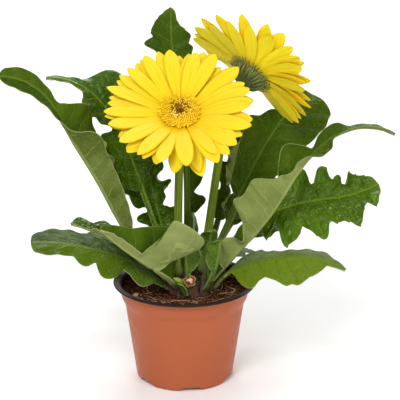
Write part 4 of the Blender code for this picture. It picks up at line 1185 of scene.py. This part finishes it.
def leaf_material(name, under, dark, usual, bright, vein, margin, roughness, specular, sheen, pucker):
    """A leaf's upper or under side: patches, side veins, midrib, fine net and pale margin."""
    s = Shade(name, roughness, specular, sheen, (0.9, 1.0, 0.8), (0.85, 1.0, 0.45))
    phase_left, phase_right, side = s.split("veins")
    fresh, spacing = s.split("place")[1:]
    across, edge, pale = s.split("reach")
    phase = s.blend(s.step(side, -0.001, 0.001), phase_right, phase_left)
    phase = s.plus(phase, s.times(s.minus(s.noise(55), 0.5), 0.9))
    off = s.times(s.math("ABSOLUTE", s.minus(phase, s.math("ROUND", phase))), spacing)
    slim = s.times(off, s.blend(s.step(edge, 0.0, 14.0), 1.8, 1.0))
    lateral = s.times(s.step(slim, 0.75, 0.2), s.step(edge, 0.4, 3.0))
    rib = s.math("MAXIMUM", lateral, s.step(across, 1.7, 0.7))
    net_edge = s.cells(210, "DISTANCE_TO_EDGE")
    net = s.step(net_edge, 0.09, 0.015)
    patch = s.noise(22, 3)
    fine = s.noise(300)
    # Tone between dark and usual by patches and by the leaf's whitish share, whose low values are painted
    # shade
    tone = s.plus(s.times(s.step(patch, 0.35, 0.65), 0.5), s.times(pale, 0.6))
    base = s.mix(tone, dark, usual)
    # Bright yellow-green by each half's share: partly the leaf's own young green, partly painted light on
    # halves that face the light
    base = s.over(base, fresh, s.blend(s.step(patch, 0.3, 0.7), 0.75, 1.0), bright)
    if not under:
        # Painted sheen: a grey-green veil on the upper side of the most whitish leaves, less where a half
        # is brighter, for soft reflections of the light
        painted_sheen = s.times(s.step(pale, 0.92, 1.0), s.minus(1.0, fresh))
        base = s.over(base, painted_sheen, 0.5, (0.185, 0.235, 0.075))
    base = s.over(base, s.step(fine, 0.3, 0.75), 0.12, dark)
    base = s.over(base, net, 0.12 if under else 0.10, vein)
    base = s.over(base, rib, 0.40 if under else 0.5, vein)
    base = s.over(base, s.step(edge, 0.8, 0.15), 0.65, margin)
    s.roughness(s.blend(s.noise(60), roughness - 0.08, roughness + 0.1))
    way = 1.0 if under else -1.0
    soft = s.times(s.step(net_edge, 0.0, 0.28), -pucker * way)
    soft = s.times(soft, s.blend(s.step(s.noise(38), 0.4, 0.65), 0.25, 1.0))
    height = s.plus(s.times(s.math("MAXIMUM", rib, s.times(net, 0.25)), way), soft)
    return s.finish(base, s.plus(height, s.times(fine, 0.12)), 0.75 if under else 0.9, 0.55)


def petal_material(name, tip, usual, root, streak, streak_share, roughness):
    """Smooth yellow with fine lengthwise lines, deeper towards the petal's root."""
    s = Shade(name, roughness, 0.2, 0.03, (1.0, 0.9, 0.4), (1.0, 0.85, 0.25))
    share, across, chance = s.split("place")
    shifted = s.plus(across, s.times(chance, 40.0))
    lines = s.streaks(shifted, 9.0, share, 1.6, rough=0.6)
    broad = s.streaks(shifted, 2.2, share, 1.2, 5.0, detail=2)
    base = s.mix(s.step(share, 0.2, 0.95), usual, tip)
    base = s.mix(s.step(share, 0.34, 0.0), base, root)
    base = s.over(base, s.step(lines, 0.52, 0.72), streak_share, streak)
    base = s.over(base, s.step(broad, 0.5, 0.8), streak_share * 0.6, streak)
    # Painted shade: the deeper root yellow along both edges, where neighbouring petals overlap
    base = s.over(base, s.step(s.math("ABSOLUTE", across), 0.80, 0.98), 0.6, root)
    # Painted shade: a thin darker line along a crease near the middle, from the root, fading out before
    # the tip
    aside = s.math("ABSOLUTE", s.minus(across, s.minus(s.times(chance, 0.5), 0.25)))
    crease_shade = s.times(s.step(aside, 0.09, 0.02), s.step(share, 0.9, 0.6))
    return s.finish(s.over(base, crease_shade, 0.35, streak), lines, 0.35, 0.5)


def disc_material():
    """Orange-yellow florets with brown ones in the middle, and a band of pale and dark specks."""
    s = Shade("disc_florets", 0.7, 0.1)
    along, share, chance = s.split("place")
    brown, amber = (0.065, 0.030, 0.006), (0.84, 0.41, 0.008)
    base = s.mix(s.step(share, 0.6, 1.1), (1.0, 0.66, 0.020), (1.0, 0.76, 0.020))
    base = s.over(base, s.step(chance, 0.55, 0.3), 0.5, (0.78, 0.42, 0.010))
    base = s.mix(s.step(share, 0.32, 0.22), base, amber)
    base = s.mix(s.step(share, 0.27, 0.17), base, brown)
    base = s.over(base, s.step(along, 0.5, 0.1), 0.35, amber)
    speck = s.times(s.step(chance, 0.68, 0.8), s.step(along, 0.5, 0.8))
    band = s.times(s.step(share, 0.14, 0.28), s.step(share, 0.72, 0.48))
    base = s.over(base, speck, s.times(band, 0.8), (1.0, 0.80, 0.26))
    base = s.over(base, s.step(chance, 0.30, 0.2), s.times(band, 0.7), brown)
    return s.finish(base, s.noise(900), 0.3, 0.2)


def bract_material():
    """Grey-green pointed bracts with dark tips, some of them paler."""
    s = Shade("bract_green", 0.75, 0.2, 0.15, (0.8, 0.9, 0.7))
    along, chance = s.split("place")[::2]
    base = s.mix(s.step(along, 0.1, 0.9), (0.070, 0.088, 0.014), (0.20, 0.22, 0.055))
    base = s.over(base, s.step(along, 0.86, 1.0), 0.7, (0.05, 0.035, 0.02))
    base = s.over(base, chance, 0.35, (0.14, 0.18, 0.07))
    return s.finish(base, s.noise(700, 3), 0.5, 0.25)


def stalk_material():
    """Green stalk, lighter near the soil, with soft lengthwise streaks and down."""
    s = Shade("stalk_green", 0.5, 0.22, 0.08, (0.85, 1.0, 0.6))
    along, around = s.split("place")[:2]
    streak = s.streaks(around, 26.0, along, 5.0)
    base = s.mix(s.step(streak, 0.35, 0.68), (0.105, 0.160, 0.004), (0.215, 0.300, 0.012))
    base = s.over(base, s.step(along, 0.14, 0.0), 0.6, (0.30, 0.36, 0.10))
    base = s.over(base, s.step(s.noise(40, 3), 0.45, 0.75), 0.3, (0.07, 0.12, 0.02))
    return s.finish(base, s.plus(streak, s.times(s.noise(1200), 0.4)), 0.35, 0.3)


def crown_material():
    """Brown and green fibres of old leaf bases."""
    s = Shade("crown_fibre", 0.8, 0.25, 0.2)
    sheath, chance = s.split("place")[1:]
    drawn_out = s.node("Mapping", {"Vector": s.object_place, "Scale": (1.0, 1.0, 0.2)})[0]
    fibre = s.noise(420, 3, drawn_out)
    base = s.mix(s.step(fibre, 0.35, 0.7), (0.022, 0.011, 0.006), (0.120, 0.060, 0.026))
    base = s.over(base, s.step(s.noise(60), 0.45, 0.65), s.times(sheath, 0.6), (0.090, 0.120, 0.015))
    base = s.over(base, s.step(chance, 0.6, 0.9), sheath, (0.13, 0.055, 0.022))
    return s.finish(base, fibre, 0.6, 0.5)


def bud_material():
    """A young bud: yellow-green, darker at its root."""
    s = Shade("bud_green", 0.5, 0.2)
    base = s.mix(s.step(s.split("place")[0], 0.1, 0.7), (0.12, 0.17, 0.015), (0.34, 0.42, 0.06))
    base = s.over(base, s.step(s.noise(500), 0.45, 0.7), 0.3, (0.20, 0.24, 0.03))
    return s.finish(base, s.noise(700), 0.3, 0.2)


def stub_material():
    """A cut stalk: pale pink core, brown-red ring and green outside."""
    s = Shade("cut_stalk", 0.6, 0.2)
    tone = s.split("place")[0]
    base = s.mix(s.step(tone, 0.25, 0.5), (0.72, 0.42, 0.30), (0.20, 0.050, 0.020))
    base = s.mix(s.step(tone, 0.9, 1.05), base, (0.36, 0.36, 0.13))
    base = s.mix(s.step(tone, 1.15, 1.28), base, (0.12, 0.13, 0.02))
    return s.finish(base, s.noise(900, 3), 0.4, 0.2)


def soil_material(name, dark, usual, light, scale):
    """Damp peat: crumbs of several browns and small pits."""
    s = Shade(name, 0.92, 0.06)
    rough = s.noise(scale * 1.7, 4, rough=0.65)
    base = s.mix(s.step(rough, 0.35, 0.65), dark, usual)
    base = s.over(base, s.step(s.split("place")[0], 0.45, 1.0), 0.8, light)
    base = s.over(base, s.step(s.noise(scale * 0.3, 3), 0.58, 0.75), 0.4, light)
    return s.finish(base, s.plus(s.cells(scale, "F1"), rough), 0.9, 0.8)


def fibre_material(name, dark, light):
    """Root or fibre, from dark to light by its own tone, with a mottle."""
    s = Shade(name, 0.7, 0.12)
    mottle = s.noise(500, 3)
    tone = s.times(s.plus(s.split("place")[0], mottle), 0.55)
    return s.finish(s.mix(tone, dark, light), mottle, 0.4, 0.2)


def pot_material(name, usual, shade, light, roughness, specular):
    """Thin moulded plastic: faint flow marks, scuffs and a fine grain."""
    s = Shade(name, roughness, specular)
    flow = s.noise(14, 3)
    scuff = s.noise(90, 4, rough=0.6)
    base = s.over(usual, s.step(flow, 0.4, 0.7), 0.5, shade)
    base = s.over(base, s.step(scuff, 0.62, 0.75), 0.12, light)
    s.roughness(s.blend(s.step(scuff, 0.4, 0.7), roughness - 0.05, roughness + 0.12))
    return s.finish(base, s.plus(s.noise(900), s.times(flow, 2.0)), 0.12, 0.25)


# Scene: pieces

leaf_upper = leaf_material(
    "leaf_upper", False, (0.017, 0.045, 0.001), (0.052, 0.105, 0.003), (0.160, 0.245, 0.003),
    (0.130, 0.200, 0.020), (0.22, 0.28, 0.08), 0.42, 0.16, 0.0, 0.6)
leaf_glossy = leaf_material(
    "leaf_glossy", False, (0.016, 0.042, 0.001), (0.044, 0.106, 0.001), (0.115, 0.250, 0.002),
    (0.170, 0.290, 0.008), (0.15, 0.22, 0.04), 0.30, 0.42, 0.0, 1.0)
leaf_under = leaf_material(
    "leaf_under", True, (0.070, 0.100, 0.012), (0.275, 0.312, 0.110), (0.120, 0.200, 0.010),
    (0.330, 0.380, 0.120), (0.36, 0.40, 0.18), 0.7, 0.12, 0.03, 0.3)
young_under = leaf_material(
    "young_under", True, (0.022, 0.050, 0.003), (0.100, 0.150, 0.020), (0.080, 0.160, 0.006),
    (0.20, 0.28, 0.05), (0.30, 0.36, 0.14), 0.42, 0.35, 0.0, 0.9)
pot_outer = pot_material(
    "pot_terracotta", (0.42, 0.108, 0.044), (0.38, 0.096, 0.038), (0.48, 0.16, 0.085), 0.42, 0.14)
pot_inner = pot_material(
    "pot_dark", (0.020, 0.012, 0.010), (0.012, 0.008, 0.006), (0.06, 0.038, 0.030), 0.36, 0.14)
petal_upper = petal_material(
    "petal_upper", (0.84, 0.645, 0.026), (0.82, 0.600, 0.015), (0.78, 0.46, 0.004),
    (0.68, 0.41, 0.003), 0.40, 0.45)
# The undersides' yellows are lighter than the upper side's: painted light on the petals' undersides
petal_under = petal_material(
    "petal_under", (1.0, 0.82, 0.026), (0.98, 0.79, 0.020), (0.92, 0.70, 0.02),
    (0.90, 0.70, 0.010), 0.45, 0.55)
stalk_green, bract_green, disc_florets = stalk_material(), bract_material(), disc_material()
peat = soil_material("peat", (0.018, 0.005, 0.002), (0.072, 0.021, 0.008), (0.170, 0.052, 0.018), 520)
crumb = soil_material(
    "peat_crumb", (0.026, 0.008, 0.003), (0.095, 0.029, 0.011), (0.23, 0.078, 0.030), 700)
fibre_brown = fibre_material("fibre", (0.030, 0.010, 0.004), (0.13, 0.042, 0.016))
root_pale = fibre_material("root", (0.26, 0.12, 0.055), (0.74, 0.50, 0.30))
bark = fibre_material("bark", (0.06, 0.024, 0.012), (0.55, 0.32, 0.17))

add_pot([pot_outer, pot_inner])
add_piece("soil_bed", soil_body(), [peat], ["soil"])
add_piece("soil_grains", grains_body(), [crumb])
add_piece("soil_fibres", fibres_body(), [fibre_brown])
add_piece("soil_roots", roots_body(), [root_pale])
add_piece("soil_bark", chips_body(), [bark])
add_piece("crown_bases", crown_body(), [crown_material()], ["crown"])
add_piece("crown_stub", stub_body(), [stub_material()])
add_piece("crown_bud", bud_body(), [bud_material()])

for number, shape in enumerate(LEAVES):
    title, made = shape["name"], leaf_body(shape, SEEDS["leaves"] + number)
    upper = leaf_glossy if shape["glossy"] else leaf_upper
    add_piece("blade_" + title, made, [upper, leaf_under], [title])
for number, shape in enumerate(YOUNG_LEAVES):
    title, made = shape["name"], leaf_body(shape, SEEDS["young"] + number)
    add_piece("blade_" + title, made, [leaf_glossy, young_under], [title])

for flower in FLOWERS:
    title, matrix = flower["name"], head_matrix(flower)
    add_piece("stem_" + title, stalk_body(flower), [stalk_green], ["stalk_" + title])
    for piece, made, materials, slot, node in (
            ("cup_", bracts_body, [bract_green], "bract", "bracts_"),
            ("petals_", rays_body, [petal_upper, petal_under], "petal", "rays_"),
            ("florets_", disc_body, [disc_florets], "disc", "disc_")):
        add_piece(piece + title, made(flower), materials, [node + title], matrix)


# Scene: floor, light and camera

def add_floor():
    mesh = bpy.data.meshes.new("floor")
    far = 4.0
    corners = [(-far, -far, 0), (far, -far, 0), (far, far, 0), (-far, far, 0)]
    mesh.from_pydata(corners, [], [(0, 1, 2, 3)])
    s = Shade("floor_white", 0.9, 0.1)
    s.put(s.shader["Base Color"], s.mix(s.noise(3), (0.94, 0.94, 0.94), (0.955, 0.955, 0.955)))
    mesh.materials.append(s.material)
    floor = linked("floor", mesh)
    floor.location.z = -0.05 * MM


def aimed(name, data, place, target):
    """A lamp or camera that looks at a target."""
    holder = linked(name, data)
    holder.location = place
    holder.rotation_euler = (Vector(target) - Vector(place)).to_track_quat("-Z", "Y").to_euler()
    return holder


def add_lamp(name, place, target, size, power):
    lamp = bpy.data.lights.new(name, "AREA")
    lamp.shape = "SQUARE"
    lamp.size = size
    lamp.energy = power
    aimed(name, lamp, place, target)


add_floor()
add_lamp("key", (-0.8, -2.3, 2.4), (0.0, 0.0, 0.15), 1.2, 62)
add_lamp("fill", (1.8, -2.0, 1.3), (0.0, 0.0, 0.15), 1.5, 24)
add_lamp("back", (0.2, 2.2, 2.2), (0.0, 0.6, 0.0), 2.0, 60)

world = bpy.data.worlds.new("studio")
world.use_nodes = True
world.node_tree.nodes["Background"].inputs["Color"].default_value = (1, 1, 1, 1)
world.node_tree.nodes["Background"].inputs["Strength"].default_value = 0.46
bpy.context.scene.world = world
bpy.context.scene.view_settings.view_transform = "Standard"

camera_data = bpy.data.cameras.new("camera")
camera_data.lens = CAMERA_LENS
camera_data.sensor_width = 36
bpy.context.scene.camera = aimed("camera", camera_data, CAMERA_PLACE, CAMERA_TARGET)
